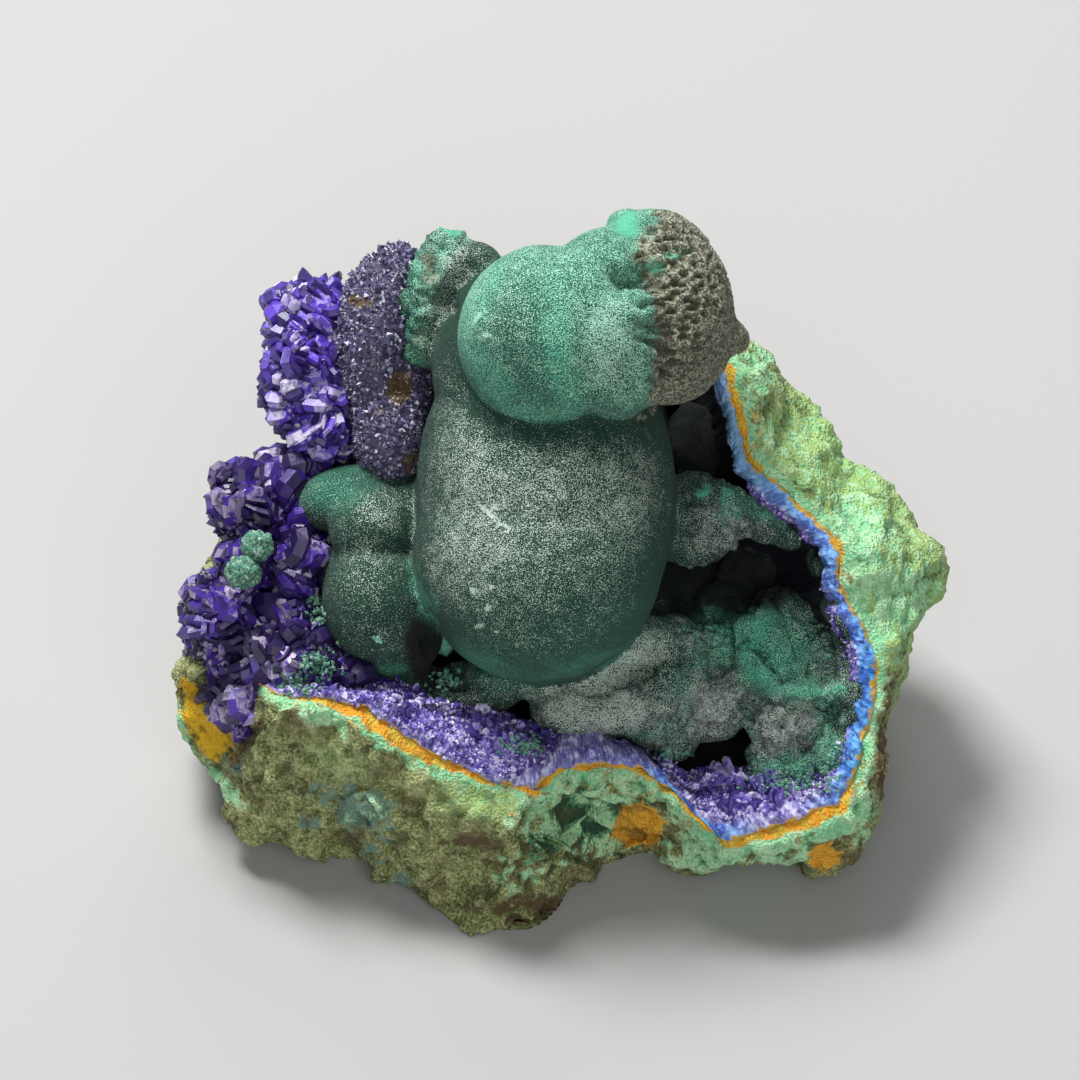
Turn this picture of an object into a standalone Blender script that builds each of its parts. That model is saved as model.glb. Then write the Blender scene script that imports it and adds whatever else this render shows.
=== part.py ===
"""Azurite and malachite specimen, 50 mm across.

A broken bowl of stained ironstone is lined with azurite and holds a lumpy growth of malachite. Every
piece is drawn in the face frame, in millimetres: x to the right, y up the open face and z out of it.
The carrier empty then leans the face back, so that the trimmed underside lies flat on z = 0.
"""

import math

import bmesh
import bpy
import numpy as np
from mathutils import Matrix, Vector, noise
from mathutils.bvhtree import BVHTree

# Driving dimensions, in millimetres unless named otherwise
MM = 0.001
LEAN_DEG = 45.0
SEAT = (-0.01, -6.1, 18.9)
CLEARANCE = 0.33
HUB = (0.0, -1.3)
STATIONS = 96
CAVITY_FLOOR = -14.0
BACK_DEPTH = 12.5
LINING_THICKNESS = 1.7
LINING_CROWN = 0.35
SECTION_WIDTH = 1.5
SECTION_LEAST = 0.35
ROCK_BULGE = 1.3
ROCK_ROUGHNESS = 1.2
ROCK_LUMP = 3.4
LOBE_VOXEL = 0.45

# About how many triangles each piece is thinned to before its crystals and pits are added
ROCK_TRIANGLES = 2500
LINING_TRIANGLES = 1150
MALACHITE_TRIANGLES = 2000
ROSETTE_TRIANGLES = 180
DRUSE_TRIANGLES = 280
KNOB_TRIANGLES = 90

# Where the rock meets the azurite lining, clockwise from the upper right: x, y, z
CONTACT_LINE = (
    (10.2, 13.7, -2.5),
    (11.0, 10.1, -1.5),
    (11.7, 7.4, -1.0),
    (14.5, 5.0, -0.6),
    (17.2, 2.2, -0.2),
    (17.5, -0.6, 0.0),
    (18.8, -2.8, 0.2),
    (19.7, -5.0, 0.3),
    (19.3, -8.8, 0.4),
    (18.4, -12.0, 0.5),
    (17.5, -13.9, 0.6),
    (15.1, -14.8, 0.7),
    (12.6, -15.6, 0.8),
    (10.2, -16.3, 0.8),
    (8.8, -15.1, 0.9),
    (6.9, -12.9, 1.0),
    (5.0, -11.7, 1.0),
    (2.5, -11.2, 1.0),
    (0.0, -11.7, 1.0),
    (-1.6, -12.9, 1.1),
    (-3.0, -12.7, 1.2),
    (-5.7, -11.8, 1.3),
    (-8.2, -10.6, 1.3),
    (-10.1, -9.3, 1.3),
    (-12.0, -7.9, 1.3),
    (-14.2, -7.4, 1.2),
    (-17.0, -7.1, 1.0),
    (-20.5, -5.7, -3.0),
    (-21.1, -1.3, -5.5),
    (-19.5, 2.5, -7.0),
    (-17.3, 5.7, -8.0),
    (-14.5, 8.2, -8.5),
    (-13.5, 12.6, -9.0),
    (-12.0, 16.4, -9.0),
    (-8.2, 17.6, -8.5),
    (-3.8, 18.3, -8.0),
    (2.5, 18.3, -7.5),
    (7.6, 16.8, -5.0),
)

# The widest outline of the rock, clockwise from the upper right: x, y, z
GIRTH = (
    (12.1, 14.8, -6.5),
    (14.5, 12.9, -8.0),
    (18.3, 7.9, -8.5),
    (23.0, 3.2, -7.5),
    (25.2, 1.2, -6.5),
    (22.8, -3.8, -5.5),
    (20.7, -10.1, -5.0),
    (20.5, -13.9, -5.0),
    (19.0, -17.3, -6.0),
    (16.9, -18.9, -6.5),
    (11.7, -18.0, -6.0),
    (5.0, -18.1, -6.0),
    (1.9, -19.5, -6.0),
    (-0.9, -21.7, -5.0),
    (-4.4, -23.0, -4.3),
    (-8.2, -20.7, -5.0),
    (-13.2, -18.6, -6.5),
    (-17.0, -18.1, -7.5),
    (-20.5, -15.8, -7.0),
    (-21.5, -12.9, -6.0),
    (-23.9, -9.8, -6.0),
    (-24.4, -6.9, -7.0),
    (-23.3, -2.5, -9.0),
    (-21.7, 2.5, -10.5),
    (-19.5, 6.3, -11.5),
    (-16.1, 8.5, -12.5),
    (-16.1, 12.6, -12.5),
    (-14.5, 17.6, -12.5),
    (-10.1, 19.8, -12.5),
    (-5.0, 20.2, -12.5),
    (2.5, 20.5, -12.0),
    (8.8, 18.3, -10.0),
)

# Rings of the rock: down the hollow's wall from floor to rim, then from the crest out to the girth
HOLLOW_SHARES = (0.97, 0.85, 0.62, 0.35, 0.12, 0.0)
SHOULDER_SHARES = (0.3, 0.6, 0.85)

# The rock's back: each ring's share of the girth and of the depth behind it
BACK_PROFILE = (
    (1.0, 0.0),
    (0.97, 0.25),
    (0.91, 0.5),
    (0.8, 0.72),
    (0.66, 0.87),
    (0.5, 0.95),
    (0.34, 0.98),
    (0.17, 1.0),
)

# Dents in the rock's outer face: centre x, y, then half width, half height and depth
DENTS = (
    (3.4, -15.3, 5.0, 3.2, 3.0),
    (9.0, -17.6, 2.2, 1.2, 0.9),
    (-19.6, -11.0, 1.6, 2.4, 1.3),
    (14.2, 9.2, 2.6, 2.0, 0.6),
)

# Malachite lobes: centre x, y, z, then the three radii and the turn about z in degrees
COLUMN_LOBES = (
    (-1.1, 5.2, 0.5, 8.7, 11.8, 8.6, 0.0),
    (-1.6, 1.6, 1.2, 8.3, 8.1, 8.2, 0.0),
    (-3.0, 13.7, 1.0, 5.5, 6.8, 6.2, -8.0),
    (1.5, 9.0, -7.5, 5.5, 7.5, 6.0, 0.0),
    (0.6, 13.4, -6.2, 6.4, 4.6, 5.2, 0.0),
)
BROKEN_END = (7.4, 17.0, 4.8, 4.6, 6.3, 5.7, 12.0)
CAP_LOBES = (
    (-0.9, 15.2, 6.6, 5.5, 5.65, 5.6, 0.0),
    (3.1, 16.0, 6.2, 4.8, 6.1, 5.8, 0.0),
    (4.1, 22.1, 4.6, 1.3, 1.1, 1.4, 0.0),
    BROKEN_END,
)
SHOULDER_LOBES = (
    (-7.0, 21.1, 0.4, 1.7, 1.4, 1.6, 0.0),
    (-5.6, 19.9, 0.6, 2.3, 1.7, 2.0, 0.0),
    (-7.9, 19.3, 0.8, 1.7, 1.9, 1.8, 0.0),
    (-8.5, 16.9, 0.6, 1.6, 1.9, 1.7, 0.0),
    (-8.7, 14.8, 0.2, 1.3, 1.7, 1.6, 0.0),
    (-7.0, 17.0, -1.0, 2.4, 4.4, 3.2, 0.0),
)
LEFT_LOBES = (
    (-13.4, 4.8, -2.2, 3.3, 2.7, 3.2, 10.0),
    (-11.6, 3.2, -0.6, 3.1, 3.2, 3.2, 0.0),
    (-11.4, -1.5, -0.6, 3.6, 4.2, 3.9, 0.0),
    (-10.5, -3.8, -3.0, 3.6, 3.0, 3.6, 0.0),
    (-9.5, 1.0, -6.0, 5.0, 6.0, 4.5, 0.0),
)
FLOOR_LOBES = (
    (2.8, -4.6, -3.6, 4.8, 2.3, 3.4, 22.0),
    (1.6, -8.1, -3.8, 5.0, 2.7, 3.4, 0.0),
    (-5.6, -7.2, -4.6, 3.6, 2.2, 3.2, 8.0),
    (-1.4, -6.6, -2.6, 2.4, 1.2, 2.0, 12.0),
    (7.0, -6.4, -5.4, 3.6, 4.2, 4.0, 0.0),
    (9.6, -8.2, -3.8, 2.2, 2.0, 2.5, 0.0),
    (14.2, -9.5, -3.8, 2.3, 2.1, 2.5, 0.0),
    (16.1, -11.8, -5.6, 2.0, 2.3, 2.6, 0.0),
    (14.8, -4.4, -5.6, 2.9, 4.5, 3.6, 18.0),
    (11.2, -4.6, -6.8, 3.0, 2.8, 3.2, 0.0),
    (12.0, -7.2, -5.8, 2.6, 2.2, 3.2, 0.0),
    (8.8, 3.1, -1.6, 3.4, 2.7, 3.0, 0.0),
    (11.4, 3.6, -2.2, 2.7, 2.5, 2.7, 0.0),
    (-2.0, -1.0, -10.5, 13.0, 9.0, 3.4, 0.0),
    (10.0, -6.5, -9.8, 7.0, 6.5, 3.2, 0.0),
)

# Notches where the smooth cap meets its broken end: centre x, y, z and the three radii
CAP_NOTCHES = (
    (4.3, 18.9, 10.0, 1.4, 0.8, 1.5),
    (5.3, 15.2, 10.5, 0.9, 0.4, 1.0),
    (5.6, 13.8, 10.3, 0.9, 0.4, 0.9),
    (6.2, 12.4, 9.6, 0.8, 0.35, 0.8),
)

# Pores of the broken end: their count, their radius and the turn from each to the next
PORE_COUNT = 9
PORE_RADIUS = 0.65
PORE_TURN_DEG = 137.5

# Azurite lumps under the blades: centre x, y, z, then the three radii and the turn about z
ROSETTE_CORES = (
    (-19.7, 4.8, -3.9, 2.3, 2.5, 4.0, 0.0),
    (-17.4, 6.6, -5.0, 1.7, 1.4, 3.4, 0.0),
    (-21.3, -2.5, -4.1, 2.5, 3.3, 4.1, 0.0),
    (-16.5, 1.0, -4.7, 1.9, 4.2, 4.4, 0.0),
    (-17.3, -4.5, -3.6, 3.5, 3.2, 4.2, 0.0),
    (-19.8, -7.5, -4.8, 2.5, 2.0, 3.8, 0.0),
    (-13.6, -5.9, -3.0, 2.2, 1.6, 3.6, 0.0),
    (-19.4, 1.2, -4.0, 2.0, 2.4, 4.1, 0.0),
)
DRUSE_CORES = (
    (-11.6, 15.4, -3.0, 2.7, 5.6, 5.0, -6.0),
    (-10.8, 9.6, -3.0, 2.5, 3.9, 4.6, 6.0),
    (-10.2, 19.4, -3.0, 1.6, 1.9, 3.4, 0.0),
    (-16.2, 13.6, -4.2, 2.1, 4.8, 4.0, 0.0),
    (-16.6, 17.2, -4.4, 1.7, 1.7, 3.2, 0.0),
    (-14.8, 9.6, -4.8, 1.9, 2.2, 3.8, 0.0),
    (-12.5, 13.0, -8.5, 3.2, 5.6, 5.0, 0.0),
)
KNOBS = (
    (-19.0, 2.2, 0.9, 1.0, 0.9, 1.0, 0.0),
    (-19.9, 0.5, 0.9, 1.1, 1.0, 1.0, 0.0),
)

# The Boolean solver for crystals that cross each other and their neighbours in many places
MESHED = "MANIFOLD"

# Azurite blades: count, shortest and longest length, and the seed that scatters them
ROSETTE_BLADES = (34, 2.6, 4.0, 11)
DRUSE_BLADES = (24, 1.9, 2.9, 23)
LINING_BLADES = (24, 1.3, 2.2, 5)

# How far a blade's root is sunk, and its width and thickness, as shares of length, length and width
BLADE_SINK = 0.5
BLADE_WIDTH = (0.55, 0.85)
BLADE_THICKNESS = (0.42, 0.62)


def named_object(name, mesh):
    """Puts a mesh into the scene as an object of that name."""
    obj = bpy.data.objects.new(name, mesh)
    bpy.context.scene.collection.objects.link(obj)
    return obj


def bake(obj):
    """Applies every modifier of the object to its mesh."""
    bpy.context.view_layer.update()
    graph = bpy.context.evaluated_depsgraph_get()
    mesh = bpy.data.meshes.new_from_object(obj.evaluated_get(graph), depsgraph=graph)
    obj.modifiers.clear()
    obj.data = mesh


def combine(obj, other, operation, solver="EXACT"):
    """Joins the object with another one or cuts it by it, and then throws the other one away."""
    step = obj.modifiers.new("combine", "BOOLEAN")
    step.operation = operation
    step.solver = solver
    step.object = other
    bake(obj)
    bpy.data.objects.remove(other)


def swollen(obj, distance=CLEARANCE):
    """A copy of the object grown outwards, which cuts its neighbours so that they stay clear of it."""
    mesh = obj.data.copy()
    shifts = [vertex.normal * distance * MM for vertex in mesh.vertices]
    for vertex, shift in zip(mesh.vertices, shifts):
        vertex.co += shift
    return named_object(obj.name + "_room", mesh)


def keep_largest_body(obj):
    """Removes crumbs that a cut has parted from the main body."""
    shape = bmesh.new()
    shape.from_mesh(obj.data)
    left = set(shape.verts)
    bodies = []
    while left:
        body = set()
        edge_of_body = [left.pop()]
        while edge_of_body:
            vertex = edge_of_body.pop()
            body.add(vertex)
            near = {edge.other_vert(vertex) for edge in vertex.link_edges} & left
            left -= near
            edge_of_body.extend(near)
        bodies.append(body)
    bodies.sort(key=len, reverse=True)
    crumbs = [vertex for body in bodies[1:] for vertex in body]
    bmesh.ops.delete(shape, geom=crumbs, context="VERTS")
    shape.to_mesh(obj.data)
    shape.free()


def polar_outline(points):
    """Radius and height of an outline at each station, read round the hub."""
    around = []
    for x, y, z in points:
        away = (x - HUB[0], y - HUB[1])
        around.append((math.atan2(away[1], away[0]), math.hypot(*away), z))
    around.sort()
    angle, radius, height = (np.array(column) for column in zip(*around))
    stations = np.arange(STATIONS) * 2 * math.pi / STATIONS
    radii = np.interp(stations, angle, radius, period=2 * math.pi)
    heights = np.interp(stations, angle, height, period=2 * math.pi)
    return stations, radii, heights


def ring_at(stations, radii, heights):
    """Points in millimetres of one ring round the hub."""
    x = HUB[0] + radii * np.cos(stations)
    y = HUB[1] + radii * np.sin(stations)
    return np.column_stack((x, y, heights))


def loft(name, rings, first_pole, last_pole):
    """Closed skin through rings of equal point count, with a pole at each end."""
    shape = bmesh.new()
    rows = [[shape.verts.new(Vector(point) * MM) for point in ring] for ring in rings]
    ends = [shape.verts.new(Vector(pole) * MM) for pole in (first_pole, last_pole)]
    for near, far in zip(rows, rows[1:]):
        for i in range(STATIONS):
            j = (i + 1) % STATIONS
            shape.faces.new((near[i], near[j], far[j], far[i]))
    for end, row in zip(ends, (rows[0], rows[-1])):
        for i in range(STATIONS):
            shape.faces.new((end, row[i], row[(i + 1) % STATIONS]))
    bmesh.ops.recalc_face_normals(shape, faces=shape.faces)
    bmesh.ops.triangulate(shape, faces=shape.faces)
    mesh = bpy.data.meshes.new(name)
    shape.to_mesh(mesh)
    shape.free()
    return named_object(name, mesh)


def cavity_ring(depth_share, inset):
    """One ring of the bowl's hollow: depth_share is 0 at the rim and 1 at the floor."""
    stations, radii, heights = polar_outline(CONTACT_LINE)
    narrowed = radii * math.sqrt(1 - depth_share**2) - inset
    sunk = heights * (1 - depth_share) + CAVITY_FLOOR * depth_share
    return ring_at(stations, np.maximum(narrowed, 0.3), sunk + inset * depth_share)


def press_dents(points):
    """Pushes the rock's outer face back where a flake has broken away."""
    pressed = points.copy()
    for x, y, half_width, half_height, depth in DENTS:
        reach = ((points[:, 0] - x) / half_width) ** 2 + ((points[:, 1] - y) / half_height) ** 2
        pressed[:, 2] -= depth * np.clip(1 - reach, 0, 1) ** 0.7
    return pressed


def rock_rings():
    """The rock's rings from the hollow's floor, over the rim and down the outside to the back."""
    stations, rim_radii, rim_heights = polar_outline(CONTACT_LINE)
    _, girth_radii, girth_heights = polar_outline(GIRTH)
    rings = [cavity_ring(share, 0.0) for share in HOLLOW_SHARES]
    section = np.minimum(SECTION_WIDTH, 0.4 * (girth_radii - rim_radii))
    crest_radii = rim_radii + np.maximum(section, SECTION_LEAST)
    crest_heights = rim_heights + 0.1
    rings.append(ring_at(stations, crest_radii, crest_heights))
    for share in SHOULDER_SHARES:
        radii = crest_radii + (girth_radii - crest_radii) * share
        drop = crest_heights + (girth_heights - crest_heights) * share
        bulge = ROCK_BULGE * math.sin(math.pi * share)
        rings.append(press_dents(ring_at(stations, radii, drop + bulge)))
    for scale, share in BACK_PROFILE:
        depth = girth_heights * (1 - share) + (girth_heights.mean() - BACK_DEPTH) * share
        rings.append(ring_at(stations, girth_radii * scale, depth))
    return rings, girth_heights.mean() - BACK_DEPTH


def roughen(obj, amplitude, wavelength, keep_smooth):
    """Moves each vertex along its normal by fractal noise, apart from where keep_smooth says."""
    mesh = obj.data
    shifts = []
    for vertex in mesh.vertices:
        place = vertex.co / MM
        swing = noise.fractal(place / wavelength, 0.8, 2.1, 3)
        amount = 0.0 if keep_smooth(place) else amplitude * swing
        shifts.append(vertex.normal * amount * MM)
    for vertex, shift in zip(mesh.vertices, shifts):
        vertex.co += shift


def lobe(shape, size):
    """Adds one ellipsoid to a bmesh."""
    x, y, z, *radii, turn = size
    place = Matrix.Translation(Vector((x, y, z)) * MM)
    spin = Matrix.Rotation(math.radians(turn), 4, "Z")
    stretch = Matrix.Diagonal((*(radius * MM for radius in radii), 1.0))
    bmesh.ops.create_icosphere(shape, subdivisions=4, radius=1.0, matrix=place @ spin @ stretch)


def thin_out(obj, triangles, group=None):
    """Thins the mesh to about that many triangles, only within the vertex group where one is named."""
    count = sum(len(face.vertices) - 2 for face in obj.data.polygons)
    thin = obj.modifiers.new("thin", "DECIMATE")
    thin.ratio = min(1.0, triangles / count)
    if group:
        thin.vertex_group = group
    bake(obj)


def fused_lobes(name, lobes, triangles, smoothing=3):
    """Ellipsoids melted into one skin, then thinned to about that many triangles."""
    shape = bmesh.new()
    for size in lobes:
        lobe(shape, size)
    mesh = bpy.data.meshes.new(name)
    shape.to_mesh(mesh)
    shape.free()
    obj = named_object(name, mesh)
    melt = obj.modifiers.new("melt", "REMESH")
    melt.mode = "VOXEL"
    melt.voxel_size = LOBE_VOXEL * MM
    soften = obj.modifiers.new("soften", "SMOOTH")
    soften.factor = 0.5
    soften.iterations = smoothing
    bake(obj)
    thin_out(obj, triangles)
    return obj


def blade(place, length, width, thickness, slant):
    """One tabular crystal with a roof-shaped tip, its root at the origin of place and its length along z."""
    shape = bmesh.new()
    half, broad, thin = width / 2, width / 3.6, thickness / 2
    outline = ((-half, 0), (-broad, -thin), (broad, -thin), (half, 0), (broad, thin), (-broad, thin))
    root = [shape.verts.new(place @ Vector((x, y, 0))) for x, y in outline]
    top = [shape.verts.new(place @ Vector((x, y, 0.72 * length + slant * x))) for x, y in outline]
    ridge = [shape.verts.new(place @ Vector((x, 0, length + slant * x))) for x in (-broad, broad)]
    shape.faces.new(root)
    for i in range(6):
        j = (i + 1) % 6
        shape.faces.new((root[i], root[j], top[j], top[i]))
    shape.faces.new((top[1], top[2], ridge[1], ridge[0]))
    shape.faces.new((top[4], top[5], ridge[0], ridge[1]))
    for corner, peak in ((0, 0), (2, 1), (3, 1), (5, 0)):
        shape.faces.new((top[corner], top[(corner + 1) % 6], ridge[peak]))
    bmesh.ops.recalc_face_normals(shape, faces=shape.faces)
    mesh = bpy.data.meshes.new("blade")
    shape.to_mesh(mesh)
    shape.free()
    return named_object("blade", mesh)


def plain_faces(mesh):
    """A mesh's points and faces as plain lists."""
    return [vertex.co.copy() for vertex in mesh.vertices], [tuple(face.vertices) for face in mesh.polygons]


def touches(crystal, tree):
    """Whether a crystal's faces cross those of a neighbour's tree."""
    shape = bmesh.new()
    shape.from_mesh(crystal.data)
    crossed = bool(BVHTree.FromBMesh(shape).overlap(tree))
    shape.free()
    return crossed


def sprout(obj, blades, allowed, clear_of=()):
    """Grows blades out of the object's faces wherever allowed says so, and fuses them to it."""
    trees = []
    for neighbour in clear_of:
        room = swollen(neighbour, 2 * CLEARANCE)
        trees.append(BVHTree.FromPolygons(*plain_faces(room.data)))
        bpy.data.objects.remove(room)
    count, shortest, longest, seed = blades
    chance = np.random.default_rng(seed)
    faces = [face for face in obj.data.polygons if allowed(face.center / MM, face.normal)]
    areas = np.array([face.area for face in faces])
    picked = chance.choice(len(faces), size=count, replace=False, p=areas / areas.sum())
    spots = [(faces[index].center.copy(), faces[index].normal.copy()) for index in picked]
    for centre, normal in spots:
        lean = Vector(chance.uniform(-0.5, 0.5, 3))
        aim = (normal + lean).to_track_quat("Z", "Y").to_matrix().to_4x4()
        spin = Matrix.Rotation(chance.uniform(0, math.pi), 4, "Z")
        length = chance.uniform(shortest, longest)
        width = length * chance.uniform(*BLADE_WIDTH)
        root = centre - normal * BLADE_SINK * length * MM
        place = Matrix.Translation(root) @ aim @ spin @ Matrix.Scale(MM, 4)
        thickness = width * chance.uniform(*BLADE_THICKNESS)
        crystal = blade(place, length, width, thickness, chance.uniform(-0.4, 0.4))
        if any(touches(crystal, tree) for tree in trees):
            bpy.data.objects.remove(crystal)
        else:
            combine(obj, crystal, "UNION", MESHED)
    keep_largest_body(obj)


def stone_material(name, colour, roughness):
    """A plain Principled material in the piece's main colour."""
    material = bpy.data.materials.new(name)
    material.use_nodes = True
    shader = material.node_tree.nodes["Principled BSDF"]
    shader.inputs["Base Color"].default_value = (*colour, 1.0)
    shader.inputs["Roughness"].default_value = roughness
    return material


def make_matrix():
    """The bowl of rock: a thick rim broken across its layers, and a rough rounded back."""
    rings, back = rock_rings()
    rock = loft("matrix", rings, (*HUB, CAVITY_FLOOR), (*HUB, back))
    _, radii, _ = polar_outline(CONTACT_LINE)

    def in_hollow(place):
        """Whether a point lies on the hollow's wall, which the lining has to clear."""
        turn = math.atan2(place.y - HUB[1], place.x - HUB[0]) % (2 * math.pi)
        station = round(turn / (2 * math.pi) * STATIONS) % STATIONS
        away = math.hypot(place.x - HUB[0], place.y - HUB[1])
        return away < radii[station] + 0.2 and place.z > CAVITY_FLOOR - 0.5

    roughen(rock, ROCK_ROUGHNESS, ROCK_LUMP, in_hollow)
    outer = rock.vertex_groups.new(name="outer")
    outside = [vertex.index for vertex in rock.data.vertices if not in_hollow(vertex.co / MM)]
    outer.add(outside, 1.0, "REPLACE")
    thin_out(rock, ROCK_TRIANGLES, outer.name)
    return rock


def make_lining():
    """The azurite crust on the hollow's wall, an even shell with its edge showing at the rim."""
    near = CLEARANCE
    far = CLEARANCE + LINING_THICKNESS
    outer = [cavity_ring(share, near) for share in (0.97, 0.7, 0.2, 0.02)]
    inner = [cavity_ring(share, far) for share in (0.0, 0.3, 0.75)]
    crown = cavity_ring(0.0, (near + far) / 2)
    crown[:, 2] += LINING_CROWN
    floor = CAVITY_FLOOR + near
    return loft("azurite_lining", [*outer, crown, *inner], (*HUB, floor), (*HUB, CAVITY_FLOOR + far))


def hollow(column, centre, radii):
    """Cuts one ellipsoid out of the malachite."""
    shape = bmesh.new()
    stretch = Matrix.Diagonal((*(radius * MM for radius in radii), 1.0))
    place = Matrix.Translation(Vector(centre) * MM)
    bmesh.ops.create_icosphere(shape, subdivisions=1, radius=1.0, matrix=place @ stretch)
    mesh = bpy.data.meshes.new("pit")
    shape.to_mesh(mesh)
    shape.free()
    combine(column, named_object("pit", mesh), "DIFFERENCE")


def pit_cap(column):
    """Hollows the notches and the pores of the cap's broken right end."""
    for x, y, z, *radii in CAP_NOTCHES:
        hollow(column, (x, y, z), radii)
    x, y, z, *radii, _ = BROKEN_END
    for i in range(PORE_COUNT):
        turn = math.radians(i * PORE_TURN_DEG % 180 - 80)
        rise = 0.92 - 0.6 * i / PORE_COUNT
        spread = math.sqrt(1 - rise**2)
        way = (spread * math.cos(turn), spread * math.sin(turn), rise)
        centre = [middle + radius * part for middle, radius, part in zip((x, y, z), radii, way)]
        hollow(column, centre, [PORE_RADIUS] * 3)


def trim_base(rock, carrier):
    """Cuts the underside flat, where the specimen rests."""
    block = bmesh.new()
    size = 100 * MM
    bmesh.ops.create_cube(block, size=size, matrix=Matrix.Translation((0, 0, -size / 2)))
    block.transform(carrier.matrix_world.inverted())
    mesh = bpy.data.meshes.new("trim")
    block.to_mesh(mesh)
    block.free()
    combine(rock, named_object("trim", mesh), "DIFFERENCE")
    keep_largest_body(rock)


def build_specimen():
    """Makes every piece, clears it of its neighbours and leans the whole onto its base."""
    carrier = bpy.data.objects.new("specimen", None)
    bpy.context.scene.collection.objects.link(carrier)
    carrier.location = Vector(SEAT) * MM
    carrier.rotation_euler.x = math.radians(LEAN_DEG)
    bpy.context.view_layer.update()

    rock = make_matrix()
    lining = make_lining()
    thin_out(lining, LINING_TRIANGLES)

    growth = COLUMN_LOBES + CAP_LOBES + SHOULDER_LOBES + LEFT_LOBES + FLOOR_LOBES
    malachite = fused_lobes("malachite", growth, 1.2 * MALACHITE_TRIANGLES)
    for neighbour in (rock, lining):
        combine(malachite, swollen(neighbour), "DIFFERENCE")
    keep_largest_body(malachite)
    thin_out(malachite, MALACHITE_TRIANGLES)
    pit_cap(malachite)

    rosettes = fused_lobes("azurite_rosettes", ROSETTE_CORES, ROSETTE_TRIANGLES)
    sprout(rosettes, ROSETTE_BLADES, lambda place, normal: place.z > -3.5 and normal.z > -0.3)
    druse = fused_lobes("azurite_druse", DRUSE_CORES, DRUSE_TRIANGLES)
    sprout(druse, DRUSE_BLADES, lambda place, normal: place.x < -13.6 and place.z > -5.0)
    for piece in (rosettes, druse):
        for neighbour in (rock, lining, malachite):
            combine(piece, swollen(neighbour), "DIFFERENCE", MESHED)
        keep_largest_body(piece)
    combine(druse, swollen(rosettes), "DIFFERENCE", MESHED)
    keep_largest_body(druse)

    knobs = fused_lobes("malachite_knobs", KNOBS, KNOB_TRIANGLES)
    combine(knobs, swollen(rosettes), "DIFFERENCE", MESHED)
    keep_largest_body(knobs)

    sprout(
        lining,
        LINING_BLADES,
        lambda place, normal: place.z > -2.6 and place.y < -6.0 and normal.z > 0,
        clear_of=(malachite, rosettes, rock),
    )
    trim_base(rock, carrier)

    finishes = {
        rock: stone_material("green_ironstone", (0.22, 0.27, 0.11), 0.9),
        lining: stone_material("azurite_crust", (0.07, 0.08, 0.52), 0.4),
        malachite: stone_material("velvet_malachite", (0.03, 0.14, 0.10), 0.7),
        rosettes: stone_material("azurite_blades", (0.06, 0.02, 0.28), 0.25),
        druse: stone_material("azurite_druse", (0.09, 0.07, 0.24), 0.35),
        knobs: stone_material("pale_malachite", (0.10, 0.24, 0.17), 0.8),
    }
    for piece, material in finishes.items():
        piece.data.materials.clear()
        piece.data.materials.append(material)
        piece.parent = carrier


def main():
    """Clears the scene and builds the specimen."""
    for obj in list(bpy.data.objects):
        bpy.data.objects.remove(obj)
    build_specimen()


main()
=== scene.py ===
"""Dressing of the azurite and malachite specimen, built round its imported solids.

Shapes are drawn in the face frame, in millimetres: x to the right, y up the open face and z out of it.
The face leans back by 45 degrees, so each finished mesh is turned into the frame's own metres.
"""

import logging
import math
from dataclasses import dataclass
from enum import Enum

import bmesh
import bpy
import numpy as np
from mathutils import Matrix, Vector, noise
from mathutils.bvhtree import BVHTree
from mathutils.kdtree import KDTree


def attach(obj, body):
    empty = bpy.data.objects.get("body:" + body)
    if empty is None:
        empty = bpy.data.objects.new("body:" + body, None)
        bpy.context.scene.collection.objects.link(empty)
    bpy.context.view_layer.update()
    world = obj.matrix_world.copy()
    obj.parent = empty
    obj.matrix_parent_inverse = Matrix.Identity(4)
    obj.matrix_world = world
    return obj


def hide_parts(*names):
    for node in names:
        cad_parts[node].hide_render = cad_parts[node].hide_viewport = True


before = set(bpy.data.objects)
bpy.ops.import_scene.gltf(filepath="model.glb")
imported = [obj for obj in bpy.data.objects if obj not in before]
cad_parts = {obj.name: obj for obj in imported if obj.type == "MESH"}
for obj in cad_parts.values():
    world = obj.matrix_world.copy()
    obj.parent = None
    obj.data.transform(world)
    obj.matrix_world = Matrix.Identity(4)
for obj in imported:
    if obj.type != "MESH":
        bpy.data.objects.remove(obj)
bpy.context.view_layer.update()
LOG = logging.getLogger("specimen")
MM = 0.001

Colour = tuple[float, float, float]

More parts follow.
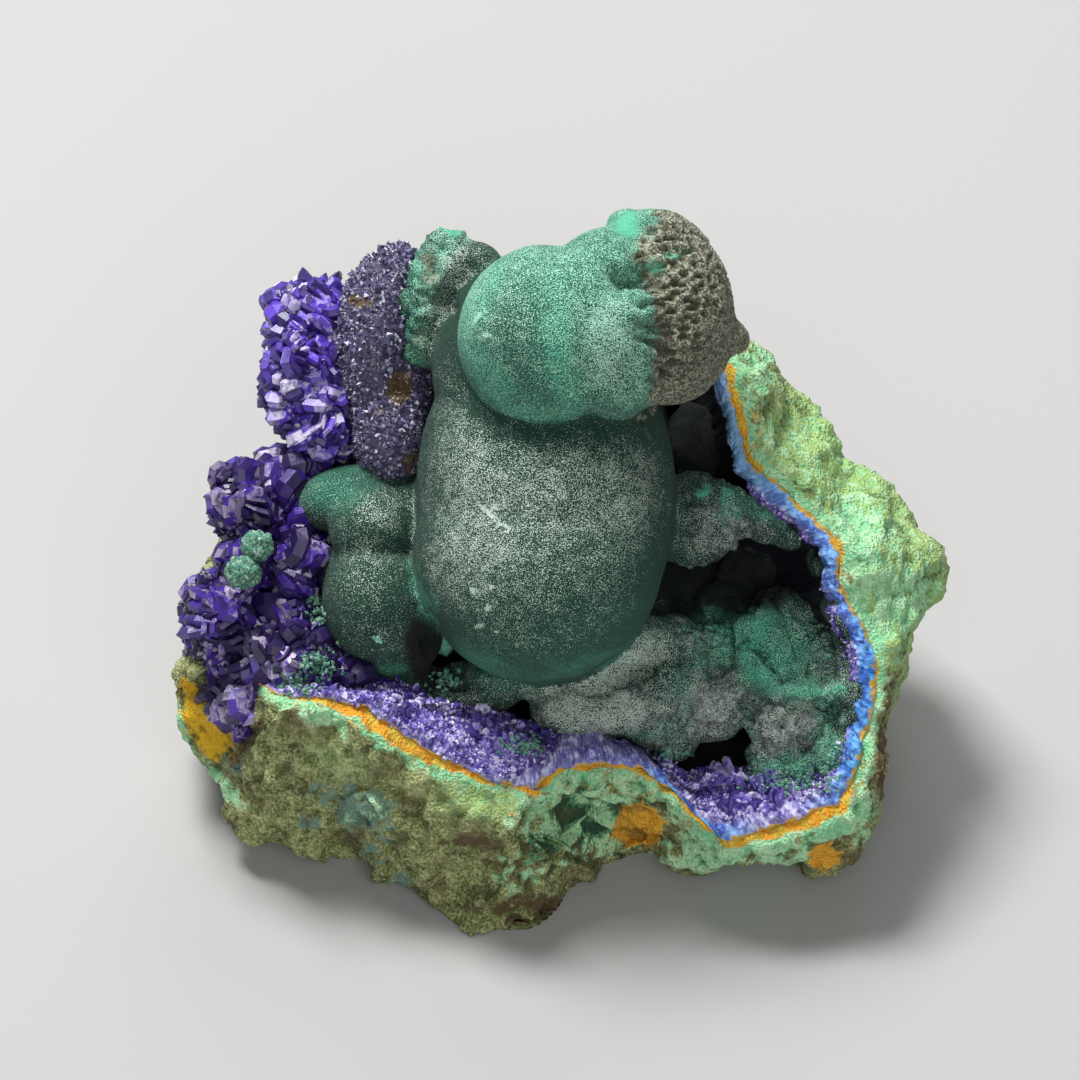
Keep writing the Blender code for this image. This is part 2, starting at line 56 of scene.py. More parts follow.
# Where the rock meets the azurite, clockwise from the upper right: x, y, z
CONTACT_LINE = (
    (10.2, 13.7, -2.5), (11.0, 10.1, -1.5), (11.7, 7.4, -1.0), (14.5, 5.0, -0.6), (17.2, 2.2, -0.2),
    (17.5, -0.6, 0.0), (18.8, -2.8, 0.2), (19.7, -5.0, 0.3), (19.3, -8.8, 0.4), (18.4, -12.0, 0.5),
    (17.5, -13.9, 0.6), (15.1, -14.8, 0.7), (12.6, -15.6, 0.8), (10.2, -16.3, 0.8), (8.8, -15.1, 0.9),
    (6.9, -12.9, 1.0), (5.0, -11.7, 1.0), (2.5, -11.2, 1.0), (0.0, -11.7, 1.0), (-1.6, -12.9, 1.1),
    (-3.0, -12.7, 1.2), (-5.7, -11.8, 1.3), (-8.2, -10.6, 1.3), (-10.1, -9.3, 1.3), (-12.0, -7.9, 1.3),
    (-14.2, -7.4, 1.2), (-17.0, -7.1, 1.0), (-20.5, -5.7, -3.0), (-21.1, -1.3, -5.5),
    (-19.5, 2.5, -7.0), (-17.3, 5.7, -8.0), (-14.5, 8.2, -8.5), (-13.5, 12.6, -9.0),
    (-12.0, 16.4, -9.0), (-8.2, 17.6, -8.5), (-3.8, 18.3, -8.0), (2.5, 18.3, -7.5), (7.6, 16.8, -5.0),
)

# The layers at the rim: x, y, orange width, mint width, blueness, tealness and the azurite's slope
RIM_LAYERS = (
    (10.2, 13.7, 0.6, 0.5, 0.6, 0.6, -0.5), (11.0, 10.1, 0.7, 0.6, 0.8, 1.0, -0.5),
    (11.9, 7.0, 0.45, 0.5, 0.8, 0.7, -0.4), (14.5, 5.0, 0.12, 0.7, 0.8, 0.2, 0.2),
    (16.2, 3.4, 0.3, 0.5, 0.7, 0.1, -0.1), (17.4, 1.6, 0.55, 0.4, 0.8, 0.2, -0.5),
    (17.5, -0.6, 0.2, 1.0, 0.7, 0.1, -0.4), (18.8, -2.8, 0.1, 1.2, 0.8, 0.0, -0.1),
    (19.7, -5.0, 0.3, 0.4, 1.0, 0.0, 0.0), (19.3, -8.8, 0.1, 0.6, 1.0, 0.0, -0.25),
    (18.4, -12.0, 0.1, 1.0, 1.0, 0.1, -0.4), (17.3, -14.2, 0.9, 1.6, 0.6, 0.1, 0.1),
    (15.1, -14.8, 1.0, 1.3, 0.0, 0.0, 1.2), (12.6, -15.6, 0.9, 0.8, 0.1, 0.0, 2.2),
    (10.2, -16.3, 0.7, 1.1, 0.9, 0.0, 2.6), (8.8, -15.1, 0.35, 1.6, 1.0, 0.0, 2.0),
    (6.9, -12.9, 0.4, 1.4, 0.9, 0.0, 1.0), (5.0, -11.7, 0.4, 1.0, 0.25, 0.0, 0.7),
    (0.0, -11.7, 0.4, 1.0, 0.1, 0.0, 1.1), (-1.6, -12.9, 0.6, 1.3, 0.1, 0.0, 1.6),
    (-3.0, -12.7, 0.3, 0.4, 0.1, 0.0, 2.0), (-5.7, -11.8, 0.5, 0.4, 0.1, 0.0, 2.3),
    (-8.2, -10.6, 1.05, 0.4, 0.1, 0.0, 2.0), (-10.1, -9.3, 1.15, 0.4, 0.1, 0.0, 1.3),
    (-12.0, -7.9, 1.0, 0.5, 0.1, 0.0, 0.6), (-14.2, -7.4, 0.5, 0.7, 0.1, 0.0, 0.3),
    (-17.0, -7.1, 0.1, 0.6, 0.0, 0.0, 0.0), (-20.5, -5.7, 0.05, 0.2, 0.0, 0.0, 0.0),
    (-19.5, 2.5, 0.1, 0.4, 0.0, 0.0, 0.0), (-13.5, 12.6, 0.2, 0.8, 0.0, 0.0, 0.0),
    (2.5, 18.3, 0.3, 0.8, 0.2, 0.2, 0.0),
)

# Malachite lobes: centre x, y, z, then the three radii and the turn about z in degrees
COLUMN_LOBES = (
    (-0.9, 5.2, 0.5, 8.2, 11.7, 8.5, 0.0), (-1.3, 1.6, 1.2, 7.9, 8.0, 8.1, 0.0),
    (-2.9, 13.7, 1.0, 5.1, 6.6, 6.1, -8.0), (1.5, 9.0, -7.5, 5.5, 7.5, 6.0, 0.0),
    (0.6, 13.4, -6.2, 6.4, 4.6, 5.2, 0.0),
)
CAP_LOBES = (
    (-0.9, 15.2, 6.6, 5.5, 5.65, 5.6, 0.0), (3.1, 16.0, 6.2, 4.8, 6.0, 5.8, 0.0),
    (1.4, 16.6, 6.2, 3.6, 4.5, 5.6, 0.0), (4.1, 22.1, 4.6, 1.3, 1.1, 1.4, 0.0),
    (6.2, 17.0, 4.8, 4.6, 6.2, 5.6, 14.0), (10.0, 15.4, 4.0, 1.9, 1.2, 2.4, -22.0),
)
SHOULDER_LOBES = (
    (-7.0, 20.7, 0.4, 1.6, 1.3, 1.6, 0.0), (-5.7, 19.9, 0.6, 2.1, 1.5, 2.0, 0.0),
    (-7.9, 19.0, 0.8, 1.6, 1.8, 1.8, 0.0), (-8.5, 16.9, 0.6, 1.5, 1.8, 1.7, 0.0),
    (-8.6, 14.9, 0.2, 1.2, 1.6, 1.6, 0.0), (-7.0, 17.0, -1.0, 2.3, 4.2, 3.2, 0.0),
)
LEFT_LOBES = (
    (-13.6, 5.2, -2.6, 3.2, 2.1, 3.0, 14.0), (-11.8, 3.4, -0.9, 2.9, 2.9, 3.1, 0.0),
    (-10.0, 4.6, -2.0, 2.4, 2.0, 2.6, 0.0), (-11.6, -1.3, -0.7, 3.4, 3.9, 3.8, 0.0),
    (-10.7, -3.6, -2.6, 3.2, 2.6, 3.4, 0.0), (-12.7, -0.2, -2.0, 2.4, 3.0, 3.0, 0.0),
    (-9.5, 1.0, -6.0, 5.0, 6.0, 4.5, 0.0),
)
FLOOR_LOBES = (
    (3.0, -4.7, -2.6, 4.5, 2.1, 3.4, 22.0), (2.4, -8.0, -2.6, 4.3, 2.5, 3.4, 4.0),
    (-5.6, -7.0, -3.6, 3.6, 1.9, 3.2, 8.0), (-1.4, -6.4, -2.2, 2.4, 1.1, 2.0, 12.0),
    (7.0, -6.0, -4.4, 2.6, 3.9, 4.0, 0.0), (9.6, -8.3, -3.4, 2.3, 2.0, 2.4, 10.0),
    (10.9, -7.4, -3.9, 1.8, 1.5, 2.2, 0.0), (14.1, -9.4, -3.6, 2.2, 1.8, 2.3, -8.0),
    (15.4, -8.6, -4.2, 1.8, 1.8, 2.3, 0.0), (16.1, -11.8, -4.8, 2.0, 2.1, 2.6, 0.0),
    (14.8, -4.4, -5.2, 2.7, 4.3, 3.4, 22.0), (10.8, -4.6, -6.4, 2.6, 2.6, 3.2, 0.0),
    (12.0, -6.6, -5.2, 2.4, 2.0, 3.0, 0.0), (8.3, 3.8, -1.6, 3.0, 3.0, 3.0, 0.0),
    (10.6, 4.3, -1.9, 2.3, 1.7, 2.4, -20.0), (12.6, 3.5, -1.9, 1.7, 1.1, 1.9, -24.0),
    (12.9, -11.2, -4.4, 1.2, 0.9, 2.0, 0.0), (8.5, 8.4, -5.8, 1.8, 2.8, 2.2, 0.0),
    (14.2, 2.9, -2.2, 1.3, 0.8, 1.6, -35.0), (-2.0, -1.0, -10.5, 13.0, 9.0, 3.4, 0.0),
    (10.0, -6.5, -9.8, 7.0, 5.4, 3.2, 0.0),
)
# Thin growths that coat the hollow's right wall and fill the corners between the floor lobes
COATING_LOBES = (
    (17.2, 0.4, -4.6, 1.2, 2.6, 3.4, 24.0), (18.0, -3.0, -3.2, 1.3, 3.2, 3.6, 14.0),
    (18.4, -7.4, -2.9, 1.3, 3.4, 3.6, 0.0), (17.6, -10.8, -3.2, 1.4, 2.4, 3.4, -14.0),
    (14.4, -12.2, -4.6, 2.8, 1.2, 2.8, 10.0), (7.4, -9.9, -4.2, 1.4, 1.7, 2.8, 0.0),
    (5.2, -9.2, -3.8, 2.2, 1.6, 2.6, 20.0), (12.8, 0.6, -8.6, 2.8, 1.7, 2.0, 10.0),
    (10.4, -1.8, -8.0, 2.2, 1.4, 2.2, 0.0), (-9.4, -6.6, -4.4, 2.4, 1.3, 2.6, 0.0),
    (-11.2, 6.4, -3.0, 2.6, 1.4, 2.6, 0.0),
)

# Azurite lumps under the crystals: centre x, y, z, then the three radii and the turn about z
ROSETTE_CORES = (
    (-19.7, 4.8, -3.9, 2.3, 2.5, 4.0, 0.0), (-17.4, 6.6, -5.0, 1.7, 1.4, 3.4, 0.0),
    (-21.3, -2.5, -4.1, 2.5, 3.3, 4.1, 0.0), (-16.5, 1.0, -4.7, 1.9, 4.2, 4.4, 0.0),
    (-17.3, -4.5, -3.6, 3.5, 3.2, 4.2, 0.0), (-19.8, -7.5, -4.8, 2.5, 2.0, 3.8, 0.0),
    (-13.6, -5.9, -3.0, 2.2, 1.6, 3.6, 0.0), (-19.4, 1.2, -4.0, 2.0, 2.4, 4.1, 0.0),
)
SLAB_CORES = (
    (-11.6, 15.4, -3.0, 2.7, 5.6, 5.0, -6.0), (-10.8, 9.6, -3.0, 2.5, 3.9, 4.6, 6.0),
    (-10.2, 19.4, -3.0, 1.6, 1.9, 3.4, 0.0), (-12.5, 13.0, -8.5, 3.2, 5.6, 5.0, 0.0),
    (-9.7, 12.4, -3.4, 1.7, 2.8, 3.5, 0.0),
)
BLADED_CORES = (
    (-16.5, 13.4, -4.2, 2.2, 4.7, 4.0, 0.0), (-16.9, 17.2, -4.4, 1.6, 1.6, 3.2, 0.0),
    (-15.0, 16.4, -4.4, 1.7, 2.6, 3.4, -10.0), (-14.7, 12.8, -4.0, 1.9, 3.8, 3.8, 0.0),
    (-14.9, 9.7, -4.6, 2.1, 2.2, 3.8, 0.0),
)
KNOBS = (
    (-19.0, 2.2, 0.9, 1.0, 0.9, 1.0, 0.0), (-19.9, 0.5, 0.9, 1.1, 1.0, 1.0, 0.0),
)


@dataclass(frozen=True)
class FaceFrame:
    """The leaning frame of the open face, in millimetres."""

    lean_deg: float = 45.0
    seat: tuple[float, float, float] = (-0.01, -6.1, 18.9)

    def matrix(self) -> Matrix:
        """The turn and shift from face millimetres to the frame's metres."""
        lean = Matrix.Rotation(math.radians(self.lean_deg), 4, "X")
        return Matrix.Scale(MM, 4) @ Matrix.Translation(self.seat) @ lean

    def to_world(self, points: np.ndarray) -> np.ndarray:
        """Moves points out of the face frame.

        Args:
            points: Points in face millimetres.

        Returns:
            The same points in the frame's metres.
        """
        turn = np.array(self.matrix())
        return points @ turn[:3, :3].T + turn[:3, 3]

    def to_face(self, points: np.ndarray) -> np.ndarray:
        """Moves points into the face frame.

        Args:
            points: Rows of x, y, z in the frame's metres.

        Returns:
            The same points in face millimetres.
        """
        turn = np.array(self.matrix().inverted())
        return points @ turn[:3, :3].T + turn[:3, 3]


FACE = FaceFrame()


def smooth_step(values: np.ndarray, low: float, high: float) -> np.ndarray:
    """Rises smoothly from 0 at low to 1 at high.

    Args:
        values: The numbers to read.
        low: Where the rise starts.
        high: Where it ends.

    Returns:
        The share risen for each number.
    """
    share = np.clip((values - low) / (high - low), 0.0, 1.0)
    return share * share * (3 - 2 * share)


def ripple(points: np.ndarray, wavelength: float, octaves: int = 3, shift: float = 0.0) -> np.ndarray:
    """Reads fractal noise at each point.

    Args:
        points: Rows of x, y, z in millimetres.
        wavelength: Width of the largest swell in millimetres.
        octaves: How many finer layers are added up.
        shift: Moves the pattern, so that two layers differ.

    Returns:
        Noise of about -1 to 1 for each point.
    """
    spread = points / wavelength + shift
    return np.array([noise.fractal(Vector(place), 0.9, 2.1, octaves) for place in spread])


def cell_domes(points: np.ndarray, width: float, shift: float = 0.0) -> np.ndarray:
    """Reads a pattern of rounded grains that fill the space.

    Args:
        points: Rows of x, y, z in millimetres.
        width: Width of one grain in millimetres.
        shift: Moves the pattern, so that two layers differ.

    Returns:
        1 at the middle of a grain, falling to about 0 between grains.
    """
    spread = points / width + shift
    reach = np.array([noise.voronoi(Vector(place))[0][0] for place in spread])
    return np.clip(1 - 1.6 * reach**2, 0.0, 1.0)


def turned(across: np.ndarray, up: np.ndarray, degrees: float) -> tuple[np.ndarray, np.ndarray]:
    """Reads steps on the face along axes that are turned.

    Args:
        across: The steps to the right.
        up: The steps up the face.
        degrees: How far the axes are turned.

    Returns:
        The steps along the first axis and along the second.
    """
    cos, sin = math.cos(math.radians(degrees)), math.sin(math.radians(degrees))
    return across * cos + up * sin, up * cos - across * sin


@dataclass(frozen=True)
class Patch:
    """An oval region of the face, such as a stain or a rough spot."""

    x: float
    y: float
    half_width: float
    half_height: float
    strength: float = 1.0
    turn_deg: float = 0.0

    def cover(self, points: np.ndarray) -> np.ndarray:
        """How much of the patch lies over each point.

        Args:
            points: Points in face millimetres.

        Returns:
            A share from 0 outside to the patch's strength in its middle.
        """
        along, beside = turned(points[:, 0] - self.x, points[:, 1] - self.y, self.turn_deg)
        share = (along / self.half_width) ** 2 + (beside / self.half_height) ** 2
        return self.strength * np.exp(-(share**1.5))


def patches(*rows: tuple[float, ...]) -> tuple[Patch, ...]:
    """Makes a patch of each row of values."""
    return tuple(Patch(*row) for row in rows)


@dataclass(frozen=True)
class Crest:
    """A ridge or a groove that follows a line on the face."""

    line: tuple[tuple[float, float], ...]
    width: float
    height: float

    def rise(self, points: np.ndarray) -> np.ndarray:
        """How high the ridge stands over each point.

        Args:
            points: Points in face millimetres.

        Returns:
            The rise in millimetres, negative for a groove.
        """
        nearest = np.full(len(points), np.inf)
        for start, end in zip(self.line, self.line[1:]):
            way = np.subtract(end, start)
            share = np.clip((points[:, :2] - start) @ way / (way @ way), 0.0, 1.0)
            away = points[:, :2] - start - share[:, None] * way
            nearest = np.minimum(nearest, np.hypot(away[:, 0], away[:, 1]))
        return self.height * np.exp(-((nearest / self.width) ** 2))


def frayed(points: np.ndarray, wavelength: float, amount: float) -> np.ndarray:
    """Moves points sideways by noise, so that a patch read there has a ragged outline.

    Args:
        points: Points in face millimetres.
        wavelength: Width of the largest swell in millimetres.
        amount: How far a point is moved at most, in millimetres.

    Returns:
        The moved points.
    """
    across = amount * ripple(points, wavelength, 3, 41.0)
    up = amount * ripple(points, wavelength, 3, 83.0)
    return points + np.column_stack((across, up, np.zeros(len(points))))


def rim_sway(points: np.ndarray) -> np.ndarray:
    """The waviness of the broken rim, which the rock and the crust share.

    Args:
        points: Points in face millimetres.

    Returns:
        A step in millimetres for each point.
    """
    across = 0.26 * ripple(points, 1.9, 3, 57.0)
    up = 0.26 * ripple(points, 1.9, 3, 91.0)
    return np.column_stack((across, up, 0.18 * ripple(points, 1.3, 3, 23.0)))


def covered(points: np.ndarray, patches: tuple[Patch, ...]) -> np.ndarray:
    """The strongest cover of several patches at each point.

    Args:
        points: Points in face millimetres.
        patches: The patches to read.

    Returns:
        A share from 0 to 1 for each point.
    """
    share = np.zeros(len(points))
    for patch in patches:
        share = np.maximum(share, patch.cover(points))
    return share


def placed(name: str, data: bpy.types.ID) -> bpy.types.Object:
    """Puts a mesh, a lamp or a camera into the scene.

    Args:
        name: Name of the object.
        data: What it shows.

    Returns:
        The new object.
    """
    obj = bpy.data.objects.new(name, data)
    bpy.context.scene.collection.objects.link(obj)
    return obj


def shaped(name: str, shape: bmesh.types.BMesh) -> bpy.types.Object:
    """Makes an object of a shape in the making.

    Args:
        name: Name of the object and its mesh.
        shape: The shape, which is freed.

    Returns:
        The new object.
    """
    mesh = bpy.data.meshes.new(name)
    shape.to_mesh(mesh)
    shape.free()
    return placed(name, mesh)


def new_object(name: str, points: np.ndarray, faces: list, smooth: bool = True) -> bpy.types.Object:
    """Makes an object from face-frame points.

    Args:
        name: Name of the object and its mesh.
        points: Points in face millimetres.
        faces: Corner indices of each face.
        smooth: Whether the faces are shaded smooth.

    Returns:
        The new object, still in face millimetres.
    """
    mesh = bpy.data.meshes.new(name)
    mesh.from_pydata(points.tolist(), [], faces)
    mesh.polygons.foreach_set("use_smooth", [smooth] * len(mesh.polygons))
    return placed(name, mesh)


def mesh_points(mesh: bpy.types.Mesh) -> np.ndarray:
    """Reads a mesh's vertices.

    Args:
        mesh: The mesh to read.

    Returns:
        Rows of x, y, z.
    """
    flat = np.empty(3 * len(mesh.vertices))
    mesh.vertices.foreach_get("co", flat)
    return flat.reshape(-1, 3)


def mesh_normals(mesh: bpy.types.Mesh) -> np.ndarray:
    """Reads a mesh's vertex normals.

    Args:
        mesh: The mesh to read.

    Returns:
        Rows of x, y, z.
    """
    flat = np.empty(3 * len(mesh.vertices))
    mesh.vertex_normals.foreach_get("vector", flat)
    return flat.reshape(-1, 3)


def set_points(mesh: bpy.types.Mesh, points: np.ndarray) -> None:
    """Writes a mesh's vertices."""
    mesh.vertices.foreach_set("co", points.ravel())
    mesh.update()


def swell_out(mesh: bpy.types.Mesh, shift: np.ndarray) -> None:
    """Moves each vertex out along its normal."""
    set_points(mesh, mesh_points(mesh) + mesh_normals(mesh) * shift[:, None])


def face_copy(mesh: bpy.types.Mesh) -> bpy.types.Mesh:
    """Copies the mesh of a finished piece back into face millimetres.

    Args:
        mesh: The mesh in the frame's metres.

    Returns:
        The copy.
    """
    copy = mesh.copy()
    set_points(copy, FACE.to_face(mesh_points(copy)))
    return copy


def set_trait(mesh: bpy.types.Mesh, name: str, values: np.ndarray, domain: str = "POINT") -> None:
    """Keeps one number for each point or face, which the piece's material reads.

    Args:
        mesh: The mesh that carries the numbers.
        name: The name by which the material reads them.
        values: One number for each element.
        domain: POINT or FACE.
    """
    trait = mesh.attributes.new(name, "FLOAT", domain)
    trait.data.foreach_set("value", np.asarray(values, dtype=np.float32))


def bake(obj: bpy.types.Object) -> None:
    """Applies every modifier of an object to its mesh.

    Args:
        obj: The object.
    """
    bpy.context.view_layer.update()
    graph = bpy.context.evaluated_depsgraph_get()
    mesh = bpy.data.meshes.new_from_object(obj.evaluated_get(graph), depsgraph=graph)
    obj.modifiers.clear()
    obj.data = mesh


def reskin(obj: bpy.types.Object, voxel: float, smoothing: int) -> None:
    """Gives the object one even fine skin.

    Args:
        obj: The object, in face millimetres.
        voxel: Size of the skin's faces in millimetres.
        smoothing: How many times the skin is relaxed.
    """
    melt = obj.modifiers.new("melt", "REMESH")
    melt.mode = "VOXEL"
    melt.voxel_size = voxel
    soften = obj.modifiers.new("soften", "SMOOTH")
    soften.factor = 0.5
    soften.iterations = smoothing
    bake(obj)
    obj.data.polygons.foreach_set("use_smooth", [True] * len(obj.data.polygons))


def melted_lobes(name: str, lobes: tuple, voxel: float, smoothing: int) -> bpy.types.Object:
    """Ellipsoids melted into one fine skin.

    Args:
        name: Name of the object.
        lobes: Rows of centre, radii and turn.
        voxel: Size of the skin's faces in millimetres.
        smoothing: How many times the skin is relaxed.

    Returns:
        The object, in face millimetres.
    """
    shape = bmesh.new()
    for x, y, z, *radii, turn in lobes:
        place = Matrix.Translation((x, y, z)) @ Matrix.Rotation(math.radians(turn), 4, "Z")
        stretch = Matrix.Diagonal((*radii, 1.0))
        bmesh.ops.create_icosphere(shape, subdivisions=5, radius=1.0, matrix=place @ stretch)
    obj = shaped(name, shape)
    reskin(obj, voxel, smoothing)
    return obj


def lobe_reach(points: np.ndarray, lobes: tuple) -> np.ndarray:
    """About how far each point lies outside the nearest lobe.

    Args:
        points: Points in face millimetres.
        lobes: Rows of centre, radii and turn.

    Returns:
        Millimetres outside, negative inside.
    """
    nearest = np.full(len(points), np.inf)
    for x, y, z, *radii, turn in lobes:
        away = points - (x, y, z)
        along, beside = turned(away[:, 0], away[:, 1], turn)
        share = np.sqrt((along / radii[0]) ** 2 + (beside / radii[1]) ** 2 + (away[:, 2] / radii[2]) ** 2)
        nearest = np.minimum(nearest, (share - 1) * min(radii))
    return nearest


class Brush:
    """Builds one node material, a call for each step."""

    def __init__(self, name: str) -> None:
        """Starts a material with one Principled shader.

        Args:
            name: Name of the material.
        """
        self.material = bpy.data.materials.new(name)
        self.material.use_nodes = True
        self.tree = self.material.node_tree
        self.shader = self.tree.nodes["Principled BSDF"]
        self.place = self.tree.nodes.new("ShaderNodeTexCoord").outputs["Object"]

    def feed(self, socket: bpy.types.NodeSocket, value: object) -> None:
        """Links a socket to another one, or sets it to a plain number or colour.

        Args:
            socket: The socket that is fed.
            value: Another socket, a number or a colour.
        """
        if isinstance(value, bpy.types.NodeSocket):
            self.tree.links.new(value, socket)
        elif isinstance(value, tuple) and len(value) == 3 and socket.type == "RGBA":
            socket.default_value = (*value, 1.0)
        else:
            socket.default_value = value

    def grain(self, size: float, detail: float = 2.0, place: object = None) -> bpy.types.NodeSocket:
        """Noise of a given size.

        Args:
            size: Width of its swells in millimetres.
            detail: How many finer layers it has.
            place: The coordinates that it reads, or None for the piece's own.

        Returns:
            A value of about 0.3 to 0.7.
        """
        node = self.tree.nodes.new("ShaderNodeTexNoise")
        node.inputs["Scale"].default_value = 1 / (size * MM) if place is None else 1 / size
        node.inputs["Detail"].default_value = detail
        self.feed(node.inputs["Vector"], self.place if place is None else place)
        return node.outputs["Fac"]

    def cells(self, size: float) -> bpy.types.NodeSocket:
        """Distance to the middle of the nearest of many small cells.

        Args:
            size: Width of a cell in millimetres.

        Returns:
            0 in the middle of a cell, about 0.7 at its edge.
        """
        node = self.tree.nodes.new("ShaderNodeTexVoronoi")
        node.inputs["Scale"].default_value = 1 / (size * MM)
        self.feed(node.inputs["Vector"], self.place)
        return node.outputs["Distance"]

    def trait(self, name: str) -> bpy.types.NodeSocket:
        """Reads a number that the mesh keeps.

        Args:
            name: The name under which it is kept.

        Returns:
            The number.
        """
        node = self.tree.nodes.new("ShaderNodeAttribute")
        node.attribute_name = name
        return node.outputs["Fac"]

    def vector(self, x: object, y: object, z: object = 0.0) -> bpy.types.NodeSocket:
        """Joins three values into one vector.

        Args:
            x: The first value.
            y: The second value.
            z: The third value.

        Returns:
            The vector.
        """
        node = self.tree.nodes.new("ShaderNodeCombineXYZ")
        for socket, value in zip(node.inputs, (x, y, z)):
            self.feed(socket, value)
        return node.outputs["Vector"]

    def math(self, operation: str, first: object, second: object) -> bpy.types.NodeSocket:
        """Works out one sum of two values.

        Args:
            operation: The kind of sum, such as ADD or MULTIPLY.
            first: The first value.
            second: The second value.

        Returns:
            The result.
        """
        node = self.tree.nodes.new("ShaderNodeMath")
        node.operation = operation
        self.feed(node.inputs[0], first)
        self.feed(node.inputs[1], second)
        return node.outputs["Value"]

    def blend(self, first: object, second: object, share: float) -> bpy.types.NodeSocket:
        """Adds up two values by share.

        Args:
            first: The value that counts in full where share is 0.
            second: The value that counts in full where share is 1.
            share: How much the second value counts.

        Returns:
            The sum.
        """
        kept = self.math("MULTIPLY", first, 1 - share)
        return self.math("ADD", kept, self.math("MULTIPLY", second, share))

    def ramp(self, value: object, low: float, high: float, top: float = 1.0) -> bpy.types.NodeSocket:
        """Rises smoothly as a value goes from low to high.

        Args:
            value: The value to read.
            low: Where the rise starts. It may be above high, for a fall.
            high: Where it ends.
            top: What it rises to.

        Returns:
            A value from 0 to top.
        """
        node = self.tree.nodes.new("ShaderNodeMapRange")
        node.interpolation_type = "SMOOTHSTEP"
        self.feed(node.inputs["Value"], value)
        ends = (low, high, 0.0, top) if low < high else (high, low, top, 0.0)
        for socket, end in zip(("From Min", "From Max", "To Min", "To Max"), ends):
            node.inputs[socket].default_value = end
        return node.outputs["Result"]

    def mix(self, first: object, second: object, share: object) -> bpy.types.NodeSocket:
        """Blends two colours.

        Args:
            first: The colour where share is 0.
            second: The colour where share is 1.
            share: How much of the second colour shows.

        Returns:
            The blended colour.
        """
        node = self.tree.nodes.new("ShaderNodeMix")
        node.data_type = "RGBA"
        sockets = [socket for socket in node.inputs if socket.type == "RGBA"]
        self.feed(node.inputs[0], share)
        self.feed(sockets[0], first)
        self.feed(sockets[1], second)
        return next(socket for socket in node.outputs if socket.type == "RGBA")

    def bump(self, height: object, depth: float, strength: float = 1.0) -> None:
        """Raises the surface's fine relief.

        Args:
            height: The relief, from 0 to 1.
            depth: How high 1 stands, in millimetres.
            strength: How much of it shows.
        """
        node = self.tree.nodes.new("ShaderNodeBump")
        node.inputs["Strength"].default_value = strength
        node.inputs["Distance"].default_value = depth * MM
        self.feed(node.inputs["Height"], height)
        self.tree.links.new(node.outputs["Normal"], self.shader.inputs["Normal"])

    def finish(self, colour: object, roughness: object, ior: float = 1.5, sheen: float = 0.0) -> None:
        """Sets the shader's main sockets.

        Args:
            colour: The base colour.
            roughness: The roughness.
            ior: The index of refraction, one number all over.
            sheen: How much soft fibre light there is, one number all over.
        """
        self.feed(self.shader.inputs["Base Color"], colour)
        self.feed(self.shader.inputs["Roughness"], roughness)
        self.shader.inputs["IOR"].default_value = ior
        self.shader.inputs["Sheen Weight"].default_value = sheen


class Slot(Enum):
    """The record's material slots."""

    ROCK = "green_ironstone"
    CRUST = "azurite_crust"
    VELVET = "velvet_malachite"
    BLADES = "azurite_blades"
    DRUSE = "azurite_druse"
    PALE = "pale_malachite"


